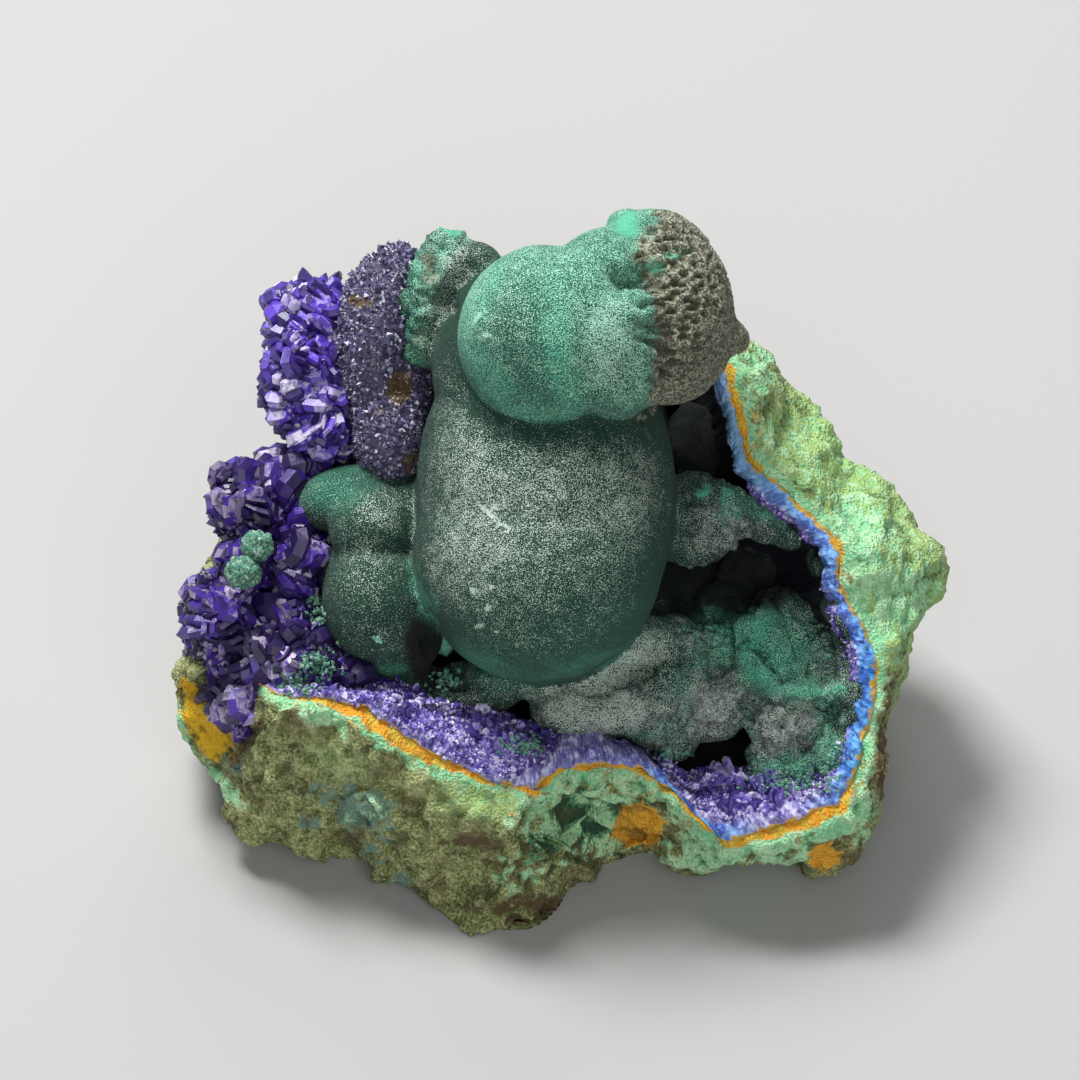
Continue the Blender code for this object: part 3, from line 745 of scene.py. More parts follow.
@dataclass(frozen=True)
class StainedIronstone:
    """Sugary olive rock, stained orange and mint where it meets the azurite, with painted shade in its low
    places.
    """

    shadow: Colour = (0.085, 0.082, 0.028)
    olive: Colour = (0.24, 0.28, 0.10)
    straw: Colour = (0.52, 0.55, 0.26)
    brown: Colour = (0.12, 0.082, 0.032)
    lime: Colour = (0.36, 0.56, 0.19)
    mint: Colour = (0.24, 0.65, 0.33)
    pale_mint: Colour = (0.50, 0.80, 0.46)
    orange: Colour = (0.85, 0.36, 0.02)
    ochre: Colour = (0.76, 0.50, 0.05)
    yellow: Colour = (0.86, 0.52, 0.012)
    teal: Colour = (0.19, 0.31, 0.23)
    deep: Colour = (0.015, 0.085, 0.045)
    moss: Colour = (0.10, 0.27, 0.13)

    def material(self) -> bpy.types.Material:
        """Builds the rock finish.

        Returns:
            The node material.
        """
        brush = Brush("green_ironstone")
        fine = brush.grain(0.20, 4.0)
        broad = brush.grain(0.95, 5.0)
        wide = brush.grain(4.0, 3.0)
        relief = brush.trait("relief")
        tone = brush.blend(fine, broad, 0.4)
        # Low relief also darkens the tone a little, as painted shade.
        tone = brush.math("ADD", tone, brush.math("MULTIPLY", brush.math("SUBTRACT", relief, 0.5), 0.14))
        colour = brush.mix(self.shadow, self.olive, brush.ramp(tone, 0.35, 0.50))
        colour = brush.mix(colour, self.straw, brush.ramp(tone, 0.48, 0.62))
        colour = brush.mix(colour, self.brown, brush.ramp(wide, 0.50, 0.66, 0.6))

        lime = brush.math("MULTIPLY", brush.trait("lime"), brush.ramp(tone, 0.30, 0.42))
        grassy = brush.mix(self.mint, self.pale_mint, brush.ramp(tone, 0.44, 0.60))
        limy = brush.mix(self.lime, grassy, brush.ramp(brush.grain(0.5, 5.0), 0.50, 0.58, 0.75))
        colour = brush.mix(colour, limy, lime)
        raised = brush.math("ADD", relief, fine)
        lumpy = brush.mix(self.deep, self.moss, brush.ramp(raised, 0.82, 1.05))
        stains = {
            "teal": self.teal,
            "deep": brush.mix(lumpy, grassy, brush.ramp(raised, 1.08, 1.36)),
            "mint": grassy,
            "brown": self.brown,
            "orange": brush.mix(self.orange, self.ochre, brush.ramp(fine, 0.45, 0.62)),
            "yellow": self.yellow,
        }
        for name, stain in stains.items():
            colour = brush.mix(colour, stain, self.spotted(brush, name, broad))

        wander = brush.math("MULTIPLY", brush.math("SUBTRACT", brush.grain(1.1, 4.0), 0.5), 2.6)
        past_mint = brush.math("ADD", brush.trait("past_mint"), wander)
        banded = brush.mix(colour, grassy, brush.ramp(past_mint, 0.35, -0.30))
        bare = brush.mix(self.olive, self.straw, brush.ramp(fine, 0.40, 0.60))
        gaps = brush.math("MULTIPLY", brush.ramp(past_mint, 0.1, -0.2), brush.ramp(broad, 0.56, 0.64))
        colour = brush.mix(banded, bare, gaps)
        past_orange = brush.math("ADD", brush.trait("past_orange"), brush.math("MULTIPLY", wander, 0.42))
        line = brush.mix(self.ochre, self.orange, brush.ramp(brush.grain(0.9, 3.0), 0.42, 0.58))
        colour = brush.mix(colour, line, brush.ramp(past_orange, 0.12, -0.12))
        # Painted shade: crevices and low relief are darkened towards the shadow colour.
        painted_crevice_shade = brush.math("MULTIPLY", brush.ramp(relief, 0.34, 0.05), 0.55)
        colour = brush.mix(colour, self.shadow, painted_crevice_shade)
        brush.bump(brush.math("ADD", fine, brush.math("MULTIPLY", brush.cells(0.2), 0.6)), 0.26, 1.0)
        brush.finish(colour, 0.85, 1.5)
        return brush.material

    @staticmethod
    def spotted(brush: Brush, name: str, grain: bpy.types.NodeSocket) -> bpy.types.NodeSocket:
        """A stain's share with its edge broken up by the grain.

        Args:
            brush: The material in the making.
            name: The trait that says where the stain lies.
            grain: The noise that breaks it up.

        Returns:
            A share from 0 to 1.
        """
        frayed = brush.math("MULTIPLY", brush.math("SUBTRACT", grain, 0.5), 2.4)
        share = brush.ramp(brush.math("ADD", brush.trait(name), frayed), 0.34, 0.72)
        return brush.math("MULTIPLY", share, brush.ramp(brush.trait(name), 0.04, 0.22))


@dataclass(frozen=True)
class FibrousAzurite:
    """Azurite in fibres across the crust: bright blue next to the rock, violet inside, darkened with painted
    shade down the hollow's wall.
    """

    violet_dark: Colour = (0.085, 0.060, 0.28)
    violet: Colour = (0.27, 0.225, 0.56)
    lavender: Colour = (0.62, 0.58, 0.82)
    blue_dark: Colour = (0.010, 0.036, 0.24)
    blue: Colour = (0.026, 0.16, 0.66)
    sky: Colour = (0.13, 0.45, 0.92)
    teal: Colour = (0.17, 0.42, 0.56)
    painted_shade: Colour = (0.006, 0.006, 0.012)
    stain: Colour = (0.60, 0.36, 0.06)

    def material(self) -> bpy.types.Material:
        """Builds the crust finish.

        Returns:
            The node material.
        """
        brush = Brush("azurite_crust")
        streaks = brush.vector(brush.trait("around"), brush.math("MULTIPLY", brush.trait("inset"), 0.12))
        grit = brush.grain(0.13, 3.0)
        fibre = brush.blend(brush.grain(0.15, 3.0, streaks), grit, 0.45)
        wisp = brush.blend(brush.grain(0.35, 3.0, streaks), brush.grain(0.5, 4.0), 0.5)
        violet = brush.mix(self.violet_dark, self.violet, brush.ramp(fibre, 0.42, 0.54))
        violet = brush.mix(violet, self.lavender, brush.ramp(wisp, 0.48, 0.60))
        blue = brush.mix(self.blue_dark, self.blue, brush.ramp(fibre, 0.40, 0.52))
        outward = brush.math("SUBTRACT", wisp, brush.math("MULTIPLY", brush.trait("inset"), 0.09))
        blue = brush.mix(blue, self.sky, brush.ramp(outward, 0.42, 0.52))
        tealness = brush.math("MULTIPLY", brush.trait("teal"), brush.ramp(wisp, 0.66, 0.46))
        blue = brush.mix(blue, self.teal, tealness)
        edge = brush.math("ADD", brush.trait("inset"), brush.math("MULTIPLY", wisp, 1.4))
        bluish = brush.math("MULTIPLY", brush.trait("blue"), brush.ramp(edge, 1.85, 1.35))
        colour = brush.mix(violet, blue, bluish)
        worn = brush.math("ADD", brush.trait("inset"), brush.math("MULTIPLY", brush.grain(0.8, 4.0), 1.6))
        colour = brush.mix(colour, self.stain, brush.ramp(worn, 0.80, 0.62))
        # Painted shade: the crust darkens to near black with its depth below the rim.
        colour = brush.mix(colour, self.painted_shade, brush.ramp(brush.trait("depth"), 0.45, 1.4))
        brush.bump(fibre, 0.16, 1.0)
        brush.finish(colour, 0.5, 1.6)
        return brush.material


@dataclass(frozen=True)
class VelvetMalachite:
    """Dark green velvet, dusted with pale needles that thin out towards its undersides; the dusting also
    carries painted light and painted shade, and deep places take a painted near-black shade.
    """

    dark: Colour = (0.006, 0.034, 0.021)
    moss: Colour = (0.012, 0.056, 0.036)
    dust: Colour = (0.56, 0.67, 0.58)
    leaf_dark: Colour = (0.008, 0.056, 0.037)
    leaf_mid: Colour = (0.055, 0.22, 0.15)
    leaf: Colour = (0.37, 0.76, 0.56)
    bright: Colour = (0.13, 0.56, 0.37)
    mint: Colour = (0.11, 0.52, 0.32)
    ash: Colour = (0.42, 0.45, 0.43)
    umber: Colour = (0.080, 0.074, 0.048)
    bone: Colour = (0.42, 0.46, 0.34)
    painted_shade_black: Colour = (0.004, 0.006, 0.005)

    def material(self) -> bpy.types.Material:
        """Builds the malachite finish.

        Returns:
            The node material.
        """
        brush = Brush("velvet_malachite")
        needles = brush.grain(0.068, 1.5)
        tuft = brush.grain(0.9, 3.0)
        speck = brush.math("ADD", needles, brush.math("MULTIPLY", brush.math("SUBTRACT", tuft, 0.5), 0.22))
        frost = brush.trait("frost")
        # The frost trait carries painted light and shade as well as the needles' dusting.
        dusting = brush.math("ADD", speck, brush.math("MULTIPLY", brush.math("SUBTRACT", frost, 0.5), 0.16))
        dusted = brush.ramp(dusting, 0.575, 0.645)
        nap = brush.ramp(needles, 0.42, 0.54)
        column = brush.mix(brush.mix(self.dark, self.moss, nap), self.dust, dusted)
        cap = brush.mix(brush.mix(self.leaf_dark, self.leaf_mid, nap), self.leaf, dusted)
        colour = brush.mix(column, cap, brush.trait("leafy"))
        vivid = brush.mix(self.leaf_dark, self.bright, nap)
        vivid = brush.mix(vivid, self.leaf, brush.ramp(dusting, 0.55, 0.66))
        colour = brush.mix(colour, vivid, brush.trait("bright"))
        ragged = brush.blend(brush.grain(0.55, 4.0), needles, 0.62)
        ashen = brush.math("MULTIPLY", brush.trait("ash"), brush.ramp(ragged, 0.46, 0.56))
        colour = brush.mix(colour, self.ash, ashen)
        bony = brush.mix(self.umber, self.bone, brush.ramp(brush.grain(0.14, 3.0), 0.42, 0.60))
        # Pits and notches go umber: partly the broken end's own brown, partly painted shade in the hollows.
        bony = brush.mix(bony, self.umber, brush.trait("pit"))
        colour = brush.mix(colour, bony, brush.trait("broken"))
        minty = brush.blend(brush.trait("mint"), needles, 0.5)
        colour = brush.mix(colour, self.mint, brush.ramp(minty, 0.42, 0.82))
        # Painted shade: deep places and the dark spots go near black.
        colour = brush.mix(colour, self.painted_shade_black, brush.trait("painted_shade"))
        brush.bump(needles, 0.12, 0.9)
        brush.finish(colour, 0.85, 1.35, 0.04)
        return brush.material


@dataclass(frozen=True)
class AzuriteGlass:
    """Dark violet-blue crystal with bright faces and a few frosted ones."""

    name: str
    deep: Colour = (0.016, 0.007, 0.060)
    vivid: Colour = (0.050, 0.016, 0.27)
    lavender: Colour = (0.36, 0.29, 0.46)
    frost: Colour = (0.56, 0.50, 0.62)
    earth: Colour = (0.13, 0.085, 0.045)
    roughness: float = 0.36
    frost_from: float = 0.88

    def material(self) -> bpy.types.Material:
        """Builds the crystals finish.

        Returns:
            The node material.
        """
        brush = Brush(self.name)
        tint = brush.trait("tint")
        cloud = brush.grain(0.35, 3.0)
        colour = brush.mix(self.deep, self.vivid, brush.ramp(tint, 0.25, 0.70))
        misty = brush.blend(tint, cloud, 0.3)
        pale_from = 0.7 * self.frost_from + 0.10
        colour = brush.mix(colour, self.lavender, brush.ramp(misty, pale_from - 0.07, pale_from + 0.05))
        colour = brush.mix(colour, self.frost, brush.ramp(misty, pale_from + 0.05, pale_from + 0.2))
        colour = brush.mix(colour, self.deep, brush.ramp(brush.grain(0.6, 3.0), 0.52, 0.66, 0.75))
        colour = brush.mix(colour, self.earth, brush.trait("earth"))
        brush.bump(brush.grain(0.12, 3.0), 0.04, 0.6)
        brush.finish(colour, self.roughness, 1.6)
        return brush.material


@dataclass(frozen=True)
class PaleMalachite:
    """Pale green malachite in fine grains."""

    name: str = "pale_malachite"
    shadow: Colour = (0.012, 0.060, 0.040)
    green: Colour = (0.055, 0.22, 0.15)
    frost: Colour = (0.32, 0.44, 0.34)
    mint: Colour = (0.28, 0.80, 0.56)

    def material(self) -> bpy.types.Material:
        """Builds the knobs finish.

        Returns:
            The node material.
        """
        brush = Brush(self.name)
        grains = brush.grain(0.16, 2.0)
        colour = brush.mix(self.shadow, self.green, brush.ramp(grains, 0.38, 0.52))
        colour = brush.mix(colour, self.frost, brush.ramp(brush.grain(0.2, 3.0), 0.50, 0.64))
        colour = brush.mix(colour, self.mint, brush.trait("mint"))
        brush.bump(grains, 0.12, 0.8)
        brush.finish(colour, 0.75, 1.6)
        return brush.material


@dataclass(frozen=True)
class Rim:
    """The line where the rock meets the azurite, read round the hub."""

    hub: tuple[float, float] = (0.0, -1.3)
    floor: float = -14.0

    def angles(self, points: np.ndarray) -> np.ndarray:
        """The angle of each point round the hub."""
        return np.arctan2(points[:, 1] - self.hub[1], points[:, 0] - self.hub[0])

    @staticmethod
    def between(turns: np.ndarray, values: np.ndarray, stations: np.ndarray) -> np.ndarray:
        """Reads values that go round the hub at other angles.

        Args:
            turns: The angles of the values.
            values: The values.
            stations: The angles to read at.

        Returns:
            A value for each station.
        """
        return np.interp(stations, *zip(*sorted(zip(turns, values))), period=2 * math.pi)

    def read(self, table: tuple, stations: np.ndarray) -> list[np.ndarray]:
        """Reads a table that is keyed by x and y at other angles.

        Args:
            table: Rows that start with x and y.
            stations: The angles to read at.

        Returns:
            One array for each later column of the table.
        """
        rows = np.array(table)
        return [self.between(self.angles(rows), column, stations) for column in rows.T[2:]]

    def reach(self, points: np.ndarray) -> np.ndarray:
        """The distance of each point from the hub, as the viewer sees it."""
        return np.hypot(points[:, 0] - self.hub[0], points[:, 1] - self.hub[1])

    def radii(self, stations: np.ndarray) -> np.ndarray:
        """The distance from the hub to the line at each angle."""
        rows = np.array(CONTACT_LINE)
        return self.between(self.angles(rows), self.reach(rows), stations)

    def heights(self, stations: np.ndarray) -> np.ndarray:
        """The height of the line at each angle."""
        return self.read(CONTACT_LINE, stations)[0]

    def ring(self, stations: np.ndarray, radii: np.ndarray, heights: np.ndarray) -> np.ndarray:
        """Lays one ring round the hub.

        Args:
            stations: The ring's angles.
            radii: Its distance from the hub at each angle.
            heights: Its height at each angle.

        Returns:
            The ring's points.
        """
        x = self.hub[0] + radii * np.cos(stations)
        y = self.hub[1] + radii * np.sin(stations)
        return np.column_stack((x, y, heights))

    def wall(self, stations: np.ndarray, share: float, inset: np.ndarray | float) -> np.ndarray:
        """One ring down the hollow's wall.

        Args:
            stations: The ring's angles.
            share: Depth, from 0 at the rim to 1 at the floor.
            inset: How far inside the rock's own wall the ring lies.

        Returns:
            The ring's points.
        """
        narrowed = self.radii(stations) * math.sqrt(1 - share**2) - inset
        sunk = self.heights(stations) * (1 - share) + self.floor * share
        return self.ring(stations, np.maximum(narrowed, 0.3), sunk + inset * share)


RIM = Rim()


def settle(obj: bpy.types.Object, material: bpy.types.Material) -> None:
    """Turns a finished piece into the frame's metres and lets it ride on the specimen.

    Args:
        obj: The piece, in face millimetres.
        material: Its finish.
    """
    set_points(obj.data, FACE.to_world(mesh_points(obj.data)))
    obj.data.materials.clear()
    obj.data.materials.append(material)
    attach(obj, "root")
    triangles = sum(len(face.vertices) - 2 for face in obj.data.polygons)
    LOG.info("%s: %d triangles", obj.name, triangles)


@dataclass(frozen=True)
class Dent:
    """A place where the rock is broken away more deeply."""

    patch: Patch
    depth: float


@dataclass(frozen=True)
class Push:
    """A place where the rock stands further out or further back, by a step in face millimetres."""

    patch: Patch
    step: tuple[float, float, float]

    def move(self, points: np.ndarray) -> np.ndarray:
        """How far each point is moved, with a steep edge round the patch."""
        return smooth_step(self.patch.cover(points), 0.33, 0.55)[:, None] * np.array(self.step)


@dataclass
class RockBowl:
    """The broken bowl of rock: sugary outside, layered at its broken rim."""

    voxel: float = 0.285
    smoothing: int = 6
    lump: float = 0.30
    lump_width: float = 2.4
    grain: float = 0.17
    grain_width: float = 0.62
    grit_width: float = 0.5
    dome: float = 0.55
    dome_width: float = 1.1
    soft_dome: float = 0.27
    soft_dome_width: float = 0.95
    swell: float = 0.36
    swell_width: float = 1.2
    relief_span: float = 0.5
    base_margin: float = 0.25
    base: float = 0.03

    lime: tuple[Patch, ...] = patches(
        (18.3, 6.9, 6.5, 8.0), (21.4, -1.3, 5.0, 6.5), (-4.5, -13.6, 3.4, 1.4, 0.7),
        (-14.0, -11.5, 2.6, 1.2, 0.3, -30.0),
    )
    mint: tuple[Patch, ...] = patches(
        (12.6, 13.4, 1.7, 2.4, 0.75), (14.2, 8.6, 1.6, 3.0, 0.40, 30.0), (18.6, 2.4, 3.6, 3.4, 0.80),
        (21.5, -1.2, 3.4, 3.0, 0.75), (19.4, -4.0, 1.3, 2.2, 0.5), (18.9, -14.6, 1.8, 2.4, 0.75),
        (13.6, -17.2, 2.6, 1.0, 0.7), (8.8, -16.9, 3.2, 1.5, 0.75), (-1.6, -14.0, 1.1, 1.9, 0.9),
        (-2.8, -18.9, 1.6, 2.2, 0.55), (-21.9, -13.0, 2.6, 0.8, 0.9, -38.0),
        (-24.3, -10.4, 0.7, 3.2, 1.1, 14.0), (-17.2, -7.4, 1.3, 0.7, 0.9),
        (-14.6, -9.0, 2.4, 0.7, 0.5, -25.0),
    )
    teal: tuple[Patch, ...] = patches(
        (-12.4, -14.6, 2.2, 1.7, 0.95), (-14.6, -13.6, 1.6, 0.9, 0.6), (-16.0, -15.4, 1.0, 0.7, 0.6),
        (-10.0, -19.4, 1.1, 1.0, 0.6), (-11.8, -16.8, 1.2, 2.0, 0.55), (-23.3, -8.0, 0.6, 0.6, 0.8),
        (-21.0, -11.6, 1.0, 1.0, 0.7),
    )
    deep: tuple[Patch, ...] = patches(
        (2.4, -15.2, 5.2, 2.8, 0.95), (-1.2, -16.6, 1.6, 2.6, 0.7), (14.3, -17.4, 2.4, 1.3, 0.8),
        (9.6, -17.8, 3.4, 1.2, 0.8), (19.0, -14.4, 1.6, 1.6, 0.5), (-12.2, -15.0, 2.2, 2.0, 0.35),
    )
    orange: tuple[Patch, ...] = patches(
        (5.0, -15.7, 1.6, 1.6, 1.5), (16.7, -17.6, 1.0, 1.0, 1.3), (-12.6, -8.9, 2.0, 0.5, 0.5),
        (12.2, 10.0, 0.5, 3.0, 0.5), (15.6, 3.6, 0.9, 0.5, 0.6, -40.0), (-2.4, -14.6, 1.2, 0.3, 0.3),
    )
    yellow: tuple[Patch, ...] = patches(
        (-22.4, -9.2, 1.5, 2.3, 1.5, 24.0), (-23.9, -7.2, 0.6, 1.2, 0.9),
    )
    brown: tuple[Patch, ...] = patches(
        (-5.4, -16.4, 2.8, 0.5, 0.6), (-1.3, -21.0, 4.4, 1.5, 0.65), (-19.0, -15.0, 2.0, 2.0, 0.35),
        (-19.9, -10.3, 0.4, 3.2, 0.85, -38.0), (20.2, -11.0, 1.1, 4.6, 0.6),
        (20.8, -7.0, 0.9, 3.2, 0.55, -12.0), (-21.2, -7.6, 1.2, 0.7, 0.6),
    )
    dents: tuple[Dent, ...] = (
        Dent(Patch(0.6, -15.2, 2.4, 1.6), 1.3),
        Dent(Patch(3.6, -17.2, 3.2, 1.4), 1.1),
        Dent(Patch(-1.5, -15.9, 1.2, 2.0), 1.1),
        Dent(Patch(-3.2, -20.0, 5.4, 2.6), 0.8),
        Dent(Patch(-12.6, -17.4, 2.6, 1.8), 0.8),
        Dent(Patch(13.0, -18.4, 3.0, 1.0), 0.5),
    )
    pushes: tuple[Push, ...] = (
        Push(Patch(-22.6, -9.8, 2.9, 5.4, 1.0, -35.0), (-0.5, 0.0, -2.6)),
        Push(Patch(-24.0, -9.6, 2.0, 3.4), (-0.2, 0.2, 0.0)),
        Push(Patch(-17.6, -10.8, 1.7, 3.8, 1.0, -38.0), (-0.3, 0.1, 0.8)),
        Push(Patch(-24.6, -13.6, 2.6, 1.8, 1.0, -50.0), (1.0, 0.9, 0.0)),
        Push(Patch(-12.4, -14.6, 1.6, 1.3), (0.0, 0.0, 0.8)),
        Push(Patch(-1.2, -21.4, 3.6, 1.6), (0.0, -0.4, -0.4)),
        Push(Patch(-4.4, -15.4, 2.2, 1.5, 1.0, 20.0), (0.1, 0.0, 0.9)),
    )
    front_from: tuple[float, float] = (-13.0, -8.0)

    def build(self) -> bpy.types.Object:
        """Makes the rock from its solid, roughens it and marks its stains.

        Returns:
            The finished piece.
        """
        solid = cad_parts["matrix"].data
        points = FACE.to_face(mesh_points(solid))
        faces = [tuple(face.vertices) for face in solid.polygons]
        rock = new_object("rock_bowl", points, faces)
        reskin(rock, self.voxel, self.smoothing)
        self.roughen(rock.data)
        self.mark(rock.data)
        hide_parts("matrix")
        settle(rock, StainedIronstone().material())
        return rock

    def rim_distance(self, points: np.ndarray) -> np.ndarray:
        """Measures how far each point lies from the contact line.

        Args:
            points: Points in face millimetres.

        Returns:
            The distances in millimetres.
        """
        stations = np.linspace(0, 2 * math.pi, 1440, endpoint=False)
        line = RIM.ring(stations, RIM.radii(stations), RIM.heights(stations))
        tree = KDTree(len(line))
        for index, place in enumerate(line):
            tree.insert(Vector(place), index)
        tree.balance()
        return np.array([tree.find(Vector(place))[2] for place in points])

    def roughen(self, mesh: bpy.types.Mesh) -> None:
        """Moves the skin by lumps, grains and rounded knobs, apart from its flat base.

        Args:
            mesh: The rock's skin, in face millimetres.
        """
        points = mesh_points(mesh)
        height = FACE.to_world(points)[:, 2] / MM
        free = smooth_step(height, self.base, self.base + self.base_margin)
        reach = self.rim_distance(points)
        near_rim = smooth_step(reach, 0.1, 1.2)
        botryoid = covered(points, self.deep)
        knobbly = np.maximum(smooth_step(botryoid, 0.1, 0.4), 0.5 * covered(points, self.mint))
        shift = self.grain * (cell_domes(points, self.grain_width) - 0.5) * (0.35 + 0.65 * near_rim)
        shift += 0.6 * self.grain * ripple(points, self.grit_width, 3, 7.0)
        shift += self.dome * (cell_domes(points, self.dome_width, 3.0) - 0.35) * knobbly
        limy = covered(points, self.lime)
        swell = self.swell * ripple(points, self.swell_width, 3, 31.0)
        shift += swell * np.maximum(near_rim, 0.3) * (1 - 0.35 * limy)
        shift += self.soft_dome * (cell_domes(points, self.soft_dome_width, 5.0) - 0.4) * near_rim * limy
        self.relief = np.clip(0.5 + shift / self.relief_span, 0, 1)
        shift += self.lump * ripple(points, self.lump_width) * near_rim * (1 - 0.6 * limy)
        shift -= sum(dent.depth * smooth_step(dent.patch.cover(points), 0.30, 0.62) for dent in self.dents)
        moved = points + mesh_normals(mesh) * (shift * free)[:, None]
        moved += sum(push.move(points) for push in self.pushes) * free[:, None]
        self.reach = self.rim_distance(moved)
        moved += rim_sway(points) * (1 - smooth_step(reach, 1.0, 3.5))[:, None]
        world = FACE.to_world(moved)
        world[:, 2] = np.maximum(world[:, 2], 0.0)
        set_points(mesh, FACE.to_face(world))

    def mark(self, mesh: bpy.types.Mesh) -> None:
        """Keeps on the skin where each stain and each rim layer lies.

        Args:
            mesh: The rock's skin, in face millimetres.
        """
        points = mesh_points(mesh)
        stations = RIM.angles(points)
        orange, mint, *_ = RIM.read(RIM_LAYERS, stations)
        set_trait(mesh, "past_orange", self.reach - orange)
        set_trait(mesh, "past_mint", self.reach - orange - mint)
        # The relief, which the finish also reads for painted shade in the low places.
        set_trait(mesh, "relief", self.relief)
        front = smooth_step(points[:, 2], *self.front_from)
        for name in ("lime", "mint", "teal", "deep", "orange", "yellow", "brown"):
            set_trait(mesh, name, covered(points, getattr(self, name)) * front)


@dataclass
class AzuriteCrust:
    """The azurite shell on the hollow's wall, in fibres that stand across it."""

    stations: int = 1500
    crown_rings: int = 26
    overlap: float = 0.2
    band: float = 1.3
    crown_rise: float = 0.35
    fibre_width: float = 0.22
    fibre_rise: float = 0.13
    slope_drop: float = 2.6
    raggedness: float = 0.32
    ragged_width: float = 1.1
    swell: float = 0.22
    swell_width: float = 0.7
    backing_shares: tuple[float, ...] = (0.97, 0.6, 0.3, 0.1)
    wall_shares: tuple[float, ...] = (0.08, 0.16, 0.3, 0.45, 0.6, 0.75, 0.88, 0.97)
    buried: float = 9.0

    def build(self) -> bpy.types.Object:
        """Makes the crust ring by ring.

        Returns:
            The finished piece.
        """
        turns = np.linspace(0, 2 * math.pi, self.stations, endpoint=False)
        _, _, blue, teal, slope = RIM.read(RIM_LAYERS, turns)
        level = 0 * turns
        steps = []
        for share in self.backing_shares:
            steps.append((RIM.wall(turns, share, -self.overlap), level, level + self.buried))
        steps += self.crown(turns, slope)
        wide = self.ragged(turns) + slope
        for share in self.wall_shares:
            ring = RIM.wall(turns, share, self.band + wide * (1 - share))
            steps.append((ring, self.band + slope, RIM.heights(turns) - ring[:, 2]))
        rings, insets, depths = zip(*steps)
        points, faces = self.skin(rings)
        crust = new_object("azurite_crust", points + rim_sway(points), faces)
        spread = {
            "inset": np.concatenate(insets),
            # The depth below the rim, which the finish turns into painted shade.
            "depth": np.concatenate(depths),
            "blue": np.tile(blue, len(rings)),
            "teal": np.tile(teal, len(rings)),
            "around": np.tile(turns * RIM.radii(turns).mean(), len(rings)),
        }
        for name, values in spread.items():
            set_trait(crust.data, name, np.append(values, values[-2:] * 0 + self.buried))
        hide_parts("azurite_lining")
        settle(crust, FibrousAzurite().material())
        return crust

    def ragged(self, turns: np.ndarray) -> np.ndarray:
        """How much wider than its band the crust is at each angle, for its uneven inner edge."""
        rim = RIM.ring(turns, RIM.radii(turns), RIM.heights(turns))
        return self.raggedness * ripple(rim, self.ragged_width, 5, 13.0)

    def crown(self, turns: np.ndarray, slope: np.ndarray) -> list[tuple[np.ndarray, np.ndarray, np.ndarray]]:
        """The rings over the crust's broken edge and down its inner slope.

        Args:
            turns: The rings' angles.
            slope: How much wider than its band the crust is at each angle.

        Returns:
            A ring, its inset and its depth below the rim for each step.
        """
        radii, heights = RIM.radii(turns), RIM.heights(turns)
        rim = RIM.ring(turns, radii, heights)
        ragged = self.ragged(turns)
        swells = self.swell * ripple(rim, self.swell_width, 3, 17.0)
        steps = []
        for share in np.linspace(0.0, 1.0, self.crown_rings):
            wide = self.band + slope + ragged
            inset = -self.overlap + (wide + self.overlap) * share
            arch = self.crown_rise * math.sin(math.pi * min(1.0, share * 1.15)) ** 0.6
            fall = self.slope_drop * np.clip(slope, 0.0, 1.0) * share**2 + 1.2 * max(0.0, share - 0.8)
            flat = RIM.ring(turns, radii - inset, heights)
            along = np.column_stack((turns * radii, inset * 0.35, np.zeros(len(turns))))
            ribs = ripple(along, self.fibre_width, 2) * self.fibre_rise * smooth_step(inset, -0.1, 0.5)
            rough = 0.25 * ripple(flat, 1.6, 2) + 0.14 * ripple(flat, 0.32, 3, 3.0)
            flat[:, 2] += arch - fall + ribs + rough + swells * smooth_step(inset, 0.0, 0.8)
            steps.append((flat, inset, 0.2 * fall))
        return steps

    def skin(self, rings: list[np.ndarray]) -> tuple[np.ndarray, list]:
        """Closes the rings into one skin with a pole at each end.

        Args:
            rings: The rings in order.

        Returns:
            The points and the faces.
        """
        count = self.stations
        first = (*RIM.hub, rings[0][:, 2].mean())
        last = (*RIM.hub, rings[-1][:, 2].mean())
        points = np.vstack([*rings, first, last])
        pairs = [(i, (i + 1) % count) for i in range(count)]
        faces = []
        for row in range(len(rings) - 1):
            low, high = row * count, (row + 1) * count
            faces += [(low + i, low + j, high + j, high + i) for i, j in pairs]
        start, end = len(points) - 2, (len(rings) - 1) * count
        faces += [(start, j, i) for i, j in pairs]
        faces += [(start + 1, end + i, end + j) for i, j in pairs]
        return points, faces


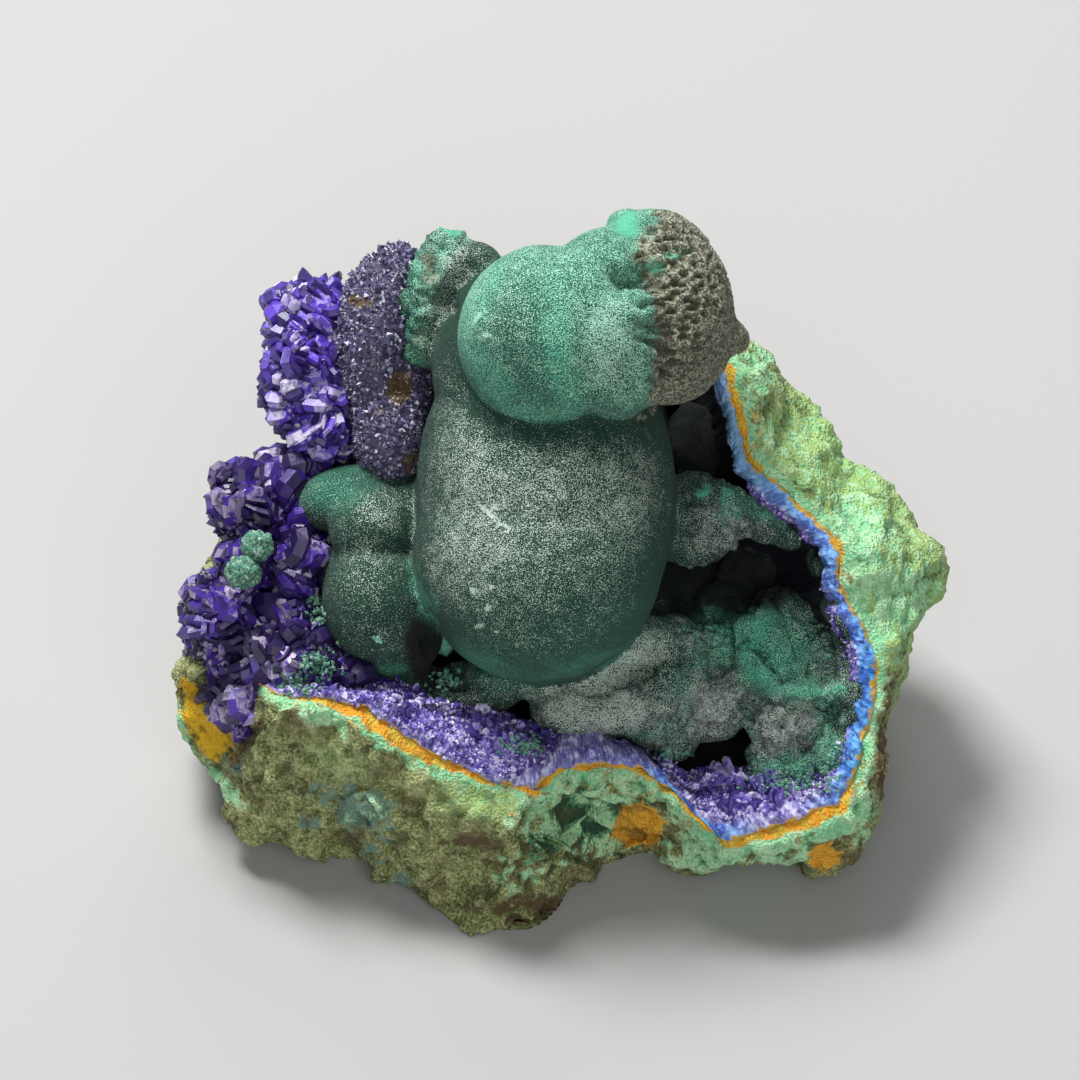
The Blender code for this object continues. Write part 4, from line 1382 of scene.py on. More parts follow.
class Habit(Enum):
    """The ways in which a crystal grows."""

    BLADE = "blade"
    WEDGE = "wedge"
    GRAIN = "grain"

    def shape(self) -> tuple[np.ndarray, list[tuple[int, ...]]]:
        """One crystal of unit width, thickness and length, its root at the origin.

        Returns:
            Its points and its faces.
        """
        if self is Habit.GRAIN:
            points = [(-0.5, -0.5, 0), (0.5, -0.5, 0), (0.5, 0.5, 0), (-0.5, 0.5, 0), (0.0, 0.1, 1)]
            return np.array(points), [(0, 3, 2, 1), (0, 1, 4), (1, 2, 4), (2, 3, 4), (3, 0, 4)]
        if self is Habit.WEDGE:
            foot = [(-0.5, -0.5, 0), (0.5, -0.5, 0), (0.5, 0.5, 0), (-0.5, 0.5, 0)]
            top = [(-0.5, -0.46, 0.55), (0.46, -0.5, 0.8), (0.34, 0.2, 1.0), (-0.4, 0.4, 0.72)]
            sides = [(i, (i + 1) % 4, (i + 1) % 4 + 4) for i in range(4)]
            sides += [(i, (i + 1) % 4 + 4, i + 4) for i in range(4)]
            return np.array(foot + top), [(3, 2, 1, 0), *sides, (4, 5, 6), (4, 6, 7)]
        rim = [(-0.3, 0.0), (0.3, 0.0), (0.5, 0.5), (0.42, 0.8), (0.05, 1.0), (-0.34, 0.86), (-0.5, 0.55)]
        face = [(-0.24, 0), (0.24, 0), (0.4, 0.5), (0.32, 0.72), (0.04, 0.88), (-0.24, 0.76), (-0.4, 0.54)]
        points = [(x, 0.0, z) for x, z in rim]
        points += [(x, side, z) for side in (-0.5, 0.5) for x, z in face]
        count = len(rim)
        front = tuple(range(count, 2 * count))
        back = tuple(range(3 * count - 1, 2 * count - 1, -1))
        bevels = [(i, (i + 1) % count, (i + 1) % count + count, i + count) for i in range(count)]
        bevels += [((i + 1) % count, i, i + 2 * count, (i + 1) % count + 2 * count) for i in range(count)]
        return np.array(points), [front, back, *bevels]


@dataclass(frozen=True)
class Crystal:
    """Where and how one crystal stands.

    It has a root in face millimetres, the direction that it grows in, a width, thickness and length,
    a turn about its own length in radians, and a tint from 0 dark over vivid to 1 frosted.
    """

    root: np.ndarray
    aim: np.ndarray
    size: tuple[float, float, float]
    spin: float
    tint: float

    def turn(self) -> Matrix:
        """The turn from an upright crystal to this one."""
        return Vector(self.aim).to_track_quat("Z", "Y").to_matrix() @ Matrix.Rotation(self.spin, 3, "Z")


@dataclass(frozen=True)
class CrystalKind:
    """How one kind of crystal is scattered over a ground.

    Girth is width as a share of length, lean is how far a crystal leans away from the ground's normal,
    sink is the share of its length that is sunk, and plates is the most plates that it is made of.
    """

    habit: Habit
    count: int
    lengths: tuple[float, float]
    girth: tuple[float, float]
    lean: float
    sink: float
    tints: tuple[float, float]
    plates: int = 1


class CrystalCloud:
    """Many crystals gathered into one mesh."""

    def __init__(self, seed: int) -> None:
        """Starts an empty cloud.

        Args:
            seed: Seed of its random choices.
        """
        self.chance = np.random.default_rng(seed)
        self.points: list[np.ndarray] = []
        self.faces: list[tuple[int, ...]] = []
        self.tints: list[float] = []
        self.count = 0

    def grow(self, habit: Habit, crystal: Crystal, tint_spread: float = 0.25) -> None:
        """Adds one crystal.

        Args:
            habit: Its way of growing.
            crystal: Where and how it stands.
            tint_spread: How much its faces differ in colour.
        """
        shape, faces = habit.shape()
        self.points.append((shape * crystal.size) @ np.array(crystal.turn()).T + crystal.root)
        self.faces += [tuple(corner + self.count for corner in face) for face in faces]
        self.tints += list(crystal.tint + self.chance.uniform(-tint_spread, tint_spread, len(faces)))
        self.count += len(shape)

    def scatter(self, kind: CrystalKind, ground: "Ground") -> None:
        """Grows crystals all over a ground.

        Args:
            kind: The crystals.
            ground: What they grow on.
        """
        short, long = kind.lengths
        dark, pale = kind.tints
        places, normals = ground.pick(self.chance, kind.count)
        for place, normal in zip(places, normals):
            aim = normal + self.chance.uniform(-kind.lean, kind.lean, 3)
            aim /= np.linalg.norm(aim)
            length = short + (long - short) * self.chance.random() ** 1.8
            width = length * self.chance.uniform(*kind.girth)
            size = (width, width * self.chance.uniform(0.5, 1.0), length)
            tint = dark + (pale - dark) * self.chance.random() ** 1.5
            spin = self.chance.uniform(0, math.pi)
            crystal = Crystal(place - aim * length * kind.sink, aim, size, spin, tint)
            if kind.plates < 2:
                self.grow(kind.habit, crystal)
            else:
                self.stack(crystal, self.chance.integers(2, kind.plates + 1))

    def stack(self, crystal: Crystal, plates: int) -> None:
        """Adds a book of thin plates that lie nearly side by side.

        Args:
            crystal: Where and how the whole book stands.
            plates: How many plates it has.
        """
        width, thick, length = crystal.size
        turn = crystal.turn()
        beside = np.array(turn.col[1])
        across = np.array(turn.col[0])
        for i in range(plates):
            share = (i + 0.5) / plates - 0.5
            fanned = crystal.aim + beside * share * 0.5 + across * self.chance.uniform(-0.14, 0.14)
            part = (
                width * self.chance.uniform(0.75, 1.1),
                1.3 * thick / plates,
                length * self.chance.uniform(0.74, 1.0),
            )
            foot = crystal.root + beside * share * thick + across * width * self.chance.uniform(-0.12, 0.12)
            tint = crystal.tint + self.chance.uniform(-0.15, 0.15)
            self.grow(Habit.BLADE, Crystal(foot, fanned, part, crystal.spin, tint), 0.18)

    def piece(self, name: str) -> bpy.types.Object:
        """Makes the cloud an object with flat faces.

        Args:
            name: Name of the object.

        Returns:
            The object, in face millimetres.
        """
        obj = new_object(name, np.vstack(self.points), self.faces, smooth=False)
        set_trait(obj.data, "tint", np.clip(self.tints, 0.0, 1.0), "FACE")
        return obj


class Ground:
    """A surface in the face frame that small things grow on."""

    def __init__(self, mesh: bpy.types.Mesh) -> None:
        """Reads a mesh that is still in face millimetres.

        Args:
            mesh: The mesh to grow on.
        """
        corners = [vertex.co.copy() for vertex in mesh.vertices]
        polygons = [tuple(face.vertices) for face in mesh.polygons]
        self.tree = BVHTree.FromPolygons(corners, polygons)
        count = len(mesh.polygons)
        self.centres = np.empty(3 * count)
        self.normals = np.empty(3 * count)
        self.areas = np.empty(count)
        mesh.polygons.foreach_get("center", self.centres)
        mesh.polygons.foreach_get("normal", self.normals)
        mesh.polygons.foreach_get("area", self.areas)
        self.sizes = self.areas
        self.centres = self.centres.reshape(-1, 3)
        self.normals = self.normals.reshape(-1, 3)

    def keep(self, where: np.ndarray) -> "Ground":
        """Limits the ground to the faces that are True in where."""
        self.areas = self.areas * where
        return self

    def pick(self, chance: np.random.Generator, count: int) -> tuple[np.ndarray, np.ndarray]:
        """Picks random places, even by area.

        Args:
            chance: The random generator.
            count: How many places.

        Returns:
            The places and the normals there.
        """
        odds = self.areas / self.areas.sum()
        picked = chance.choice(len(self.centres), size=count, p=odds)
        aside = chance.normal(size=(count, 3)) * 0.5 * np.sqrt(self.sizes[picked])[:, None]
        return self.centres[picked] + aside, self.normals[picked]

    def seen(self, x: float, y: float) -> Vector | None:
        """The place that the viewer sees at x, y, or None where nothing is hit."""
        return self.tree.ray_cast(Vector((x, y, 40.0)), Vector((0, 0, -1)))[0]

    def under(self, x: float, y: float) -> np.ndarray:
        """The place that the viewer sees at x, y, or the nearest one where nothing is hit."""
        return np.array(self.seen(x, y) or self.tree.find_nearest(Vector((x, y, 0.0)))[0])


def line_across(points: np.ndarray, line: tuple[tuple[float, float], ...]) -> np.ndarray:
    """How far to the right a line on the face lies at the height of each point."""
    return np.interp(points[:, 1], [up for _, up in line], [across for across, _ in line])


@dataclass
class MalachiteGrowth:
    """The velvety growth: a pear-shaped column under a cap, and lobes on the hollow's floor."""

    voxel: float = 0.258
    smoothing: int = 3
    thinned: float = 0.85
    swell: float = 0.12
    swell_width: float = 4.5
    pore_stretch: tuple[float, float, float] = (0.62, 1.25, 1.0)
    pore_width: float = 0.52
    pore_depth: float = 0.38
    fine_pore_width: float = 0.42
    fine_pore_depth: float = 0.16
    knob_rise: float = 0.34
    knob_width: float = 1.1
    crag_rise: float = 0.30
    crag_width: float = 1.0
    tuft_rise: float = 0.25
    tuft_width: float = 0.45
    notch_depth: float = 1.1
    hollow_depth: float = 1.0
    break_line: tuple[tuple[float, float], ...] = (
        (5.0, 8.0), (5.6, 11.0), (5.4, 13.5), (5.9, 15.2), (5.3, 17.5), (4.6, 19.5), (4.8, 21.0),
        (6.5, 23.5),
    )
    strip_line: tuple[tuple[float, float], ...] = (
        (-8.5, 15.0), (-8.0, 17.6), (-7.3, 20.0), (-6.3, 21.0), (-5.0, 22.2),
    )
    notches: tuple[Patch, ...] = patches(
        (4.6, 18.9, 1.5, 0.55, 1.0, -8.0), (5.6, 15.6, 1.0, 0.32, 1.0),
        (5.6, 14.6, 1.2, 0.35, 1.0, -25.0), (6.1, 12.4, 0.8, 0.22, 0.8), (5.3, 17.0, 0.8, 0.22, 0.7),
    )
    hollows: tuple[Patch, ...] = patches(
        (-7.5, 21.2, 0.42, 0.5, 1.0), (-8.1, 19.6, 0.55, 0.8, 1.0), (-7.2, 17.4, 0.6, 1.1, 0.8),
        (9.2, -9.6, 0.5, 0.4, 0.8), (14.0, -9.0, 0.5, 0.5, 0.9), (15.2, -10.2, 0.5, 0.5, 0.8),
    )
    bright: tuple[Patch, ...] = patches(
        (0.1, 14.0, 0.9, 4.4, 0.95, 6.0), (-14.4, 5.6, 2.6, 1.6, 0.35, 12.0),
        (-9.0, 19.6, 0.5, 1.6, 0.7), (-5.0, 17.2, 0.9, 3.0, 0.8, -25.0),
        (-4.4, 12.2, 2.4, 1.1, 0.8, -52.0), (-1.6, 10.0, 3.0, 0.8, 0.7, -12.0),
        (-8.7, -1.4, 0.5, 2.2, 0.7, 15.0), (-4.6, -5.6, 3.0, 1.0, 0.35, -28.0),
        (1.5, -5.2, 4.6, 0.5, 0.3, 18.0), (6.6, -1.6, 0.6, 1.6, 0.4, -20.0),
        (10.2, -3.2, 2.2, 2.2, 1.0, -20.0), (13.6, -4.4, 2.6, 3.0, 0.8, 20.0),
        (9.2, -4.6, 1.0, 1.6, 0.7), (7.9, -7.6, 0.7, 2.2, 0.7), (12.4, -6.0, 1.2, 1.0, 0.9),
        (14.8, -6.9, 2.6, 0.7, 0.8, 8.0), (12.0, -9.4, 0.5, 1.8, 0.7), (16.9, -9.6, 0.8, 2.8, 0.9),
        (14.4, -11.8, 2.4, 0.8, 0.9), (10.6, 4.6, 0.6, 1.6, 0.8, -15.0),
        (12.8, 4.2, 1.6, 0.5, 0.7, -30.0), (6.0, -9.9, 1.4, 0.7, 0.5), (-10.6, -5.6, 0.8, 0.8, 0.6),
    )
    mint: tuple[Patch, ...] = patches(
        (4.1, 22.2, 1.2, 1.1, 1.0), (-6.8, 21.8, 1.4, 0.5, 0.9, -12.0), (7.0, 20.2, 0.9, 0.6, 0.8),
        (6.0, 19.4, 0.7, 0.6, 0.8), (5.6, 21.4, 0.7, 0.5, 0.6), (9.0, 5.6, 0.5, 0.35, 0.9),
        (10.4, 5.4, 0.5, 1.0, 0.6),
    )
    ash: tuple[Patch, ...] = patches(
        (9.4, -8.0, 2.4, 2.2, 1.0), (14.2, -9.3, 2.4, 2.1, 1.0), (10.6, 3.2, 2.4, 1.4, 0.8, -15.0),
        (3.0, -4.6, 3.8, 1.4, 0.25, 20.0), (3.0, -8.0, 3.4, 1.8, 0.3), (8.6, -4.0, 1.2, 0.8, 0.8),
        (16.7, -5.4, 0.7, 1.8, 0.5), (6.6, -10.6, 1.2, 0.8, 0.8),
    )
    # Spots of painted shade in the hollow's dark recesses.
    painted_shade_spots: tuple[Patch, ...] = patches(
        (10.2, 0.2, 5.4, 2.3, 1.0, -6.0), (-8.0, -4.8, 0.9, 2.4, 1.0, 25.0), (8.8, 8.4, 3.0, 4.6, 1.0),
    )
    # The gap beside the column's foot, which takes painted shade.
    gaps: tuple[Patch, ...] = patches(
        (-8.4, -4.8, 1.3, 2.5, 1.0, 15.0),
    )
    # Patches of painted light, which thicken the dusting where light falls.
    lit: tuple[Patch, ...] = patches(
        (9.6, -8.2, 2.6, 2.4, 0.9), (14.3, -9.2, 2.6, 2.2, 0.9), (2.6, -5.2, 4.6, 1.6, 1.3, 20.0),
        (2.6, -8.2, 4.2, 1.8, 1.1), (-12.0, 0.8, 2.0, 1.8, 0.5), (-11.2, 4.4, 1.6, 1.2, 0.4),
        (3.4, 14.2, 2.8, 3.4, 0.7), (-7.4, 18.4, 2.4, 4.0, 0.45),
    )
    weathered: tuple[Patch, ...] = patches(
        (-8.3, 20.2, 0.5, 0.7, 0.8), (-8.2, 19.2, 0.6, 0.6, 0.7), (-7.4, 17.2, 0.6, 1.2, 0.6),
        (-8.8, 15.0, 0.5, 0.9, 0.6),
    )
    greyer: tuple[Patch, ...] = patches(
        (-3.2, 14.2, 1.7, 3.8, 0.4), (3.2, 13.6, 2.0, 3.2, 0.30),
    )
    dished: tuple[Patch, ...] = patches(
        (15.6, -3.7, 1.9, 2.6, 1.6, 22.0), (9.4, -1.8, 1.8, 1.0, 0.8), (10.5, -11.0, 1.5, 0.8, 1.6),
        (4.4, 18.6, 1.9, 1.3, 0.8, -10.0), (-7.2, -5.4, 0.9, 2.6, 1.6, 25.0),
    )
    crests: tuple[Crest, ...] = (
        Crest(((13.5, -1.8), (12.9, -2.8), (11.7, -5.2), (13.3, -7.2), (17.4, -7.1)), 0.45, 1.5),
        Crest(((8.1, -5.0), (8.3, -7.8), (7.6, -9.4)), 0.45, -0.8),
        Crest(((12.1, -7.8), (12.0, -10.2)), 0.45, -1.1),
        Crest(((-1.4, -5.6), (2.2, -7.0), (5.9, -5.8)), 0.35, -0.6),
        Crest(((10.0, 5.8), (10.0, 3.4), (11.2, 1.6)), 0.4, 0.5),
        Crest(((12.2, 4.6), (12.0, 2.6)), 0.3, -0.5),
    )
    scratches: tuple[Patch, ...] = patches(
        (-4.3, 4.1, 0.7, 0.12, 0.6, -40.0), (-3.5, 3.4, 0.5, 0.10, 0.6, -30.0),
        (-4.0, 4.6, 0.3, 0.12, 0.5, 10.0), (-5.1, 16.2, 0.45, 0.14, 0.7, 50.0),
        (-4.6, 15.0, 0.35, 0.14, 0.7, 10.0), (-5.4, -0.6, 0.14, 0.16, 0.8),
        (-4.5, -1.7, 0.12, 0.2, 0.8), (-5.0, -2.8, 0.3, 0.12, 0.7, 20.0),
        (-3.9, -3.2, 0.25, 0.1, 0.7, -20.0), (-4.2, -0.4, 0.1, 0.12, 0.7),
        (-2.8, -4.0, 0.12, 0.12, 0.6), (-0.3, 12.9, 0.14, 0.12, 0.7), (0.6, 11.4, 0.12, 0.14, 0.6),
    )

    def build(self) -> bpy.types.Object:
        """Makes the growth, its broken end and its marks.

        Returns:
            The finished piece.
        """
        lobes = COLUMN_LOBES + CAP_LOBES + SHOULDER_LOBES + LEFT_LOBES + FLOOR_LOBES + COATING_LOBES
        growth = melted_lobes("malachite_growth", lobes, self.voxel, self.smoothing)
        self.thin_out(growth)
        self.refine(growth.data)
        self.carve(growth.data)
        self.mark(growth.data)
        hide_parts("malachite")
        settle(growth, VelvetMalachite().material())
        return growth

    def broken(self, points: np.ndarray) -> np.ndarray:
        """Finds the cap's broken end.

        Args:
            points: Points in face millimetres.

        Returns:
            How much each point belongs to it, from 0 to 1.
        """
        line = line_across(points, self.break_line) + 0.8 * ripple(points * (1.0, 1.6, 1.0), 1.2, 3, 11.0)
        return smooth_step(points[:, 0] - line, -0.15, 0.35) * (lobe_reach(points, CAP_LOBES) < 0.6)

    def strip(self, points: np.ndarray) -> np.ndarray:
        """Finds the knobby strip between the slab and the column.

        Args:
            points: Points in face millimetres.

        Returns:
            How much each point belongs to it, from 0 to 1.
        """
        near = smooth_step(-lobe_reach(points, SHOULDER_LOBES), -0.4, 0.1)
        return near * smooth_step(line_across(points, self.strip_line) - points[:, 0], -0.6, 0.4)

    def thin_out(self, growth: bpy.types.Object) -> None:
        """Coarsens the skin where it lies against the hollow's wall, out of sight.

        Args:
            growth: The growth, in face millimetres.
        """
        points, normals = mesh_points(growth.data), mesh_normals(growth.data)
        below = (normals[:, 2] < -0.15) & (points[:, 2] < -2.0) & (points[:, 1] < 8.0)
        hidden = np.flatnonzero(below | (points[:, 2] < -8.0))
        group = growth.vertex_groups.new(name="hidden")
        group.add(hidden.tolist(), 1.0, "ADD")
        thin = growth.modifiers.new("thin", "DECIMATE")
        thin.vertex_group = group.name
        thin.ratio = 1 - self.thinned * len(hidden) / len(points)
        bake(growth)
        growth.vertex_groups.clear()

    def refine(self, mesh: bpy.types.Mesh) -> None:
        """Splits the faces of the broken end, the knobby strip and the floor's front once more.

        Args:
            mesh: The growth's skin, in face millimetres.
        """
        points = mesh_points(mesh)
        floor = (points[:, 0] > 7.4) & (points[:, 1] < 6.5) & (points[:, 2] > -5.5)
        floor &= (lobe_reach(points, COLUMN_LOBES) > 0.3) & (mesh_normals(mesh)[:, 2] > 0.2)
        strip = (self.strip(points) > 0.05) & (points[:, 2] > -2.0)
        rough = (self.broken(points) > 0) | strip | floor
        shape = bmesh.new()
        shape.from_mesh(mesh)
        shape.verts.ensure_lookup_table()
        edges = [edge for edge in shape.edges if rough[edge.verts[0].index] and rough[edge.verts[1].index]]
        bmesh.ops.subdivide_edges(shape, edges=edges, cuts=1, use_grid_fill=True)
        shape.to_mesh(mesh)
        shape.free()
        mesh.polygons.foreach_set("use_smooth", [True] * len(mesh.polygons))

    def carve(self, mesh: bpy.types.Mesh) -> None:
        """Gives the skin its swells, pores, notches and knobs.

        Args:
            mesh: The growth's skin, in face millimetres.
        """
        points = mesh_points(mesh)
        broken = self.broken(points)
        strip = self.strip(points) * smooth_step(lobe_reach(points, COLUMN_LOBES + CAP_LOBES), -0.3, 0.5)
        floor = smooth_step(lobe_reach(points, COLUMN_LOBES + CAP_LOBES + LEFT_LOBES), 0.0, 0.8)
        stretched = points * self.pore_stretch
        pores = smooth_step(cell_domes(stretched, self.pore_width), 0.45, 0.95)
        fine_pores = smooth_step(cell_domes(points, self.fine_pore_width, 5.0), 0.4, 0.9)
        shift = self.swell * ripple(points, self.swell_width, 2)
        fading = 1 - 0.7 * smooth_step(points[:, 0] - 0.5 * points[:, 1], 0.2, 2.6)
        shift -= broken * fading * (self.pore_depth * pores + self.fine_pore_depth * fine_pores - 0.1)
        shift += strip * self.knob_rise * (cell_domes(points, self.knob_width, 2.0) - 0.4)
        shift += strip * 0.30 * ripple(points, 0.6, 3, 4.0)
        facing = smooth_step(mesh_normals(mesh)[:, 2], 0.0, 0.4)
        craggy = floor * smooth_step(points[:, 0], 5.0, 8.0) * (0.3 + 0.7 * facing)
        shift += floor * 0.22 * ripple(points, 1.5, 4, 9.0) * (0.4 + 0.6 * facing)
        shift += craggy * self.crag_rise * ripple(points, self.crag_width, 4, 19.0)
        shift += craggy * self.knob_rise * (cell_domes(points, 0.8, 1.0) - 0.4)
        tufts = self.tuft_rise * (cell_domes(points, self.tuft_width, 6.0) - 0.4)
        shift += covered(points, self.ash) * floor * tufts
        ragged = frayed(points, 1.0, 0.35)
        shift -= covered(points, self.dished) * facing
        shift += facing * floor * sum(crest.rise(ragged) for crest in self.crests)
        shift -= self.notch_depth * covered(ragged, self.notches) * facing * (points[:, 2] > 2)
        shift -= self.hollow_depth * covered(ragged, self.hollows) * facing
        swell_out(mesh, shift)
        # The pores and notches that the finish paints umber, partly their own brown and partly painted
        # shade.
        self.pits = np.clip(broken * (0.9 * fading * pores + 0.3 * fine_pores + 0.35 * (1 - fading)), 0, 1)
        self.pits = np.maximum(self.pits, covered(ragged, self.notches) * (points[:, 2] > 2))

    def mark(self, mesh: bpy.types.Mesh) -> None:
        """Keeps on the skin where it is frosted, leafy, bright, ashen or broken, and where painted light and
        painted shade fall.

        Args:
            mesh: The growth's skin, in face millimetres.
        """
        points = mesh_points(mesh)
        cap = smooth_step(lobe_reach(points, COLUMN_LOBES) - lobe_reach(points, CAP_LOBES), -0.1, 0.35)
        strip = self.strip(points)
        column = smooth_step(-lobe_reach(points, COLUMN_LOBES), -0.4, 0.0)
        normals = mesh_normals(mesh)
        lowered = smooth_step(points[:, 1] - 0.35 * points[:, 0], -6.0, 4.5)
        patchy = 0.5 + 0.5 * ripple(points, 5.0, 3, 21.0)
        # Painted shade: the dusting thins where the surface turns away from the front, and in a painted
        # shadow under the cap.
        turned = smooth_step(normals[:, 2], 0.05, 0.85)
        shaded = 1 - smooth_step(lobe_reach(points, CAP_LOBES), 0.0, 3.0)
        frost = 0.72 * lowered + 0.35 * patchy - 0.95 * (1 - turned) - 0.85 * shaded
        leftward = smooth_step(-points[:, 0], 7.0, 9.0)
        # Off the column the dusting takes painted shade on faces turned away; here and on the cap the lit
        # patches add painted light.
        elsewhere = 0.7 * patchy + 0.3 * turned - 0.15 - 0.2 * leftward + covered(points, self.lit)
        frost = np.where(column > 0.5, frost, elsewhere)
        upward = smooth_step(points[:, 1], 13.0, 20.0)
        capped = 0.25 + 0.45 * patchy + 0.4 * upward + covered(points, self.lit)
        frost = np.where(cap > 0.5, capped, frost)
        frost = np.clip(frost, -0.8, 1.3)
        scratch = covered(points, self.scratches)
        set_trait(mesh, "frost", frost + 3 * scratch)
        greyer = covered(points, self.greyer)
        deepened = 0.35 * (1 - lowered) * column
        set_trait(mesh, "leafy", np.clip(cap + 0.7 * strip + deepened - greyer, 0, 1))
        ragged = frayed(points, 1.4, 0.6)
        # Painted shade: the dark spots, the gap by the column's foot and every deep place are darkened.
        painted_shade_spots = smooth_step(covered(ragged, self.painted_shade_spots), 0.05, 0.6) * smooth_step(-points[:, 2], -0.5, 2.5)
        painted_gap_shade = smooth_step(covered(points, self.gaps), 0.15, 0.6) * (1 - column)
        painted_shade_spots = np.maximum(painted_shade_spots, painted_gap_shade)
        set_trait(mesh, "painted_shade", np.maximum(smooth_step(-points[:, 2], 5.5, 9.5), 0.94 * painted_shade_spots))
        crest = np.clip(self.crests[0].rise(ragged), 0, 1) * smooth_step(1 - column, 0.0, 1.0)
        on_cap = np.where(points[:, 1] > 7.0, np.maximum(cap, 1 - column), 1.0)
        bright = np.maximum(covered(ragged, self.bright) * on_cap, crest)
        set_trait(mesh, "bright", np.maximum(bright, 0.3 * strip))
        mint = np.maximum(covered(ragged, self.mint), 0.6 * crest)
        set_trait(mesh, "mint", np.maximum(mint, 0.8 * scratch))
        set_trait(mesh, "ash", covered(ragged, self.ash) * smooth_step(1 - column, 0.0, 1.0))
        set_trait(mesh, "broken", np.maximum(self.broken(points), covered(ragged, self.weathered) * strip))
        set_trait(mesh, "pit", self.pits)


def join_core(bed: bpy.types.Object, core: bpy.types.Object) -> None:
    """Adds the core under some crystals to their mesh.

    Args:
        bed: The crystals.
        core: The core, which is removed.
    """
    shape = bmesh.new()
    shape.from_mesh(bed.data)
    tint = shape.faces.layers.float["tint"]
    before = len(shape.faces)
    shape.from_mesh(core.data)
    shape.faces.ensure_lookup_table()
    for face in shape.faces[before:]:
        face[tint] = 0.2
        face.smooth = False
    shape.to_mesh(bed.data)
    shape.free()
    bpy.data.objects.remove(core)


@dataclass(frozen=True)
class FeatureCrystal:
    """One large crystal whose place is listed."""

    x: float
    y: float
    width: float
    thick: float
    length: float
    aim: tuple[float, float, float]
    spin_deg: float
    tint: float
    plates: int = 1
    sink: float = 0.45

    def rooted(self, ground: Ground) -> Crystal:
        """Stands the crystal on a ground.

        Args:
            ground: What it grows on.

        Returns:
            Where and how it stands.
        """
        aim = np.array(self.aim) / np.linalg.norm(self.aim)
        root = ground.under(self.x, self.y) - aim * self.length * self.sink
        size = (self.width, self.thick, self.length)
        return Crystal(root, aim, size, math.radians(self.spin_deg), self.tint)


def large_crystals(*rows: tuple) -> tuple[FeatureCrystal, ...]:
    """Makes a large crystal of each row of values."""
    return tuple(FeatureCrystal(*row) for row in rows)


ROSETTE_FEATURES = large_crystals(
    (-17.1, 4.3, 1.7, 0.8, 3.6, (0.2, 0.9, 0.7), 15.0, 0.80),
    (-16.4, 4.0, 1.3, 0.5, 2.8, (0.3, 0.9, 0.6), 60.0, 0.55, 2),
    (-15.3, 1.5, 1.7, 0.9, 2.4, (0.5, 0.4, 0.8), -20.0, 0.84),
    (-17.5, -1.0, 2.2, 0.9, 2.2, (0.1, 0.5, 0.9), 80.0, 0.82, 2),
    (-17.2, -2.4, 2.2, 1.2, 3.2, (0.4, 0.7, 0.7), -35.0, 0.78, 5),
    (-22.7, -2.2, 3.0, 2.2, 2.8, (-0.5, 0.1, 0.9), 90.0, 0.62, 4),
    (-21.9, 4.6, 2.0, 1.6, 3.4, (-0.5, 0.5, 0.8), 30.0, 0.78, 4),
    (-21.2, 2.6, 1.8, 1.3, 3.0, (-0.6, -0.3, 0.8), -30.0, 0.70, 4),
    (-18.4, 7.0, 1.8, 0.9, 2.6, (0.0, 0.9, 0.5), 10.0, 0.25, 2),
    (-17.3, 7.6, 1.4, 0.8, 2.4, (0.3, 0.9, 0.4), 40.0, 0.40, 3),
    (-18.7, -8.0, 1.3, 0.8, 4.2, (-0.7, -0.6, 0.7), 20.0, 0.76),
    (-18.9, -6.3, 1.6, 0.8, 3.0, (0.2, 0.8, 0.7), -15.0, 0.35),
    (-20.2, -5.9, 1.4, 0.6, 2.8, (-0.3, 0.7, 0.7), 25.0, 0.20, 2),
    (-21.6, -4.1, 2.0, 0.6, 2.0, (-0.2, 0.1, 1.0), 5.0, 0.66, 2),
    (-22.8, -5.8, 1.5, 1.2, 2.2, (-0.6, -0.5, 0.7), 60.0, 0.84, 4),
    (-20.0, -9.0, 1.4, 1.0, 2.4, (-0.5, -0.8, 0.6), -30.0, 0.62, 4),
    (-16.2, -5.6, 1.4, 0.7, 2.8, (0.3, 0.8, 0.7), 35.0, 0.45, 3),
    (-14.6, -6.4, 1.2, 0.6, 2.4, (0.5, 0.6, 0.7), -10.0, 0.50, 3),
)
BLADE_FEATURES = large_crystals(
    (-14.8, 9.8, 1.8, 1.2, 2.4, (0.3, -0.2, 0.9), 20.0, 0.86, 5),
    (-15.4, 11.6, 1.3, 0.8, 2.0, (-0.1, 0.3, 0.9), -40.0, 0.80, 4),
    (-17.4, 18.4, 1.2, 0.8, 1.8, (-0.2, 0.6, 0.7), 25.0, 0.84, 3),
    (-15.0, 18.2, 1.2, 0.7, 2.0, (0.2, 0.7, 0.6), -20.0, 0.55, 3),
    (-18.0, 14.6, 1.1, 0.7, 1.8, (-0.6, 0.2, 0.8), 10.0, 0.80, 3),
    (-18.0, 12.2, 1.1, 0.7, 1.8, (-0.6, -0.2, 0.8), 50.0, 0.76, 3),
    (-17.6, 9.8, 1.0, 0.6, 1.8, (-0.5, -0.4, 0.8), 0.0, 0.70, 3),
    (-16.0, 15.0, 1.4, 0.6, 1.6, (0.0, 0.2, 1.0), 70.0, 0.58, 2),
)


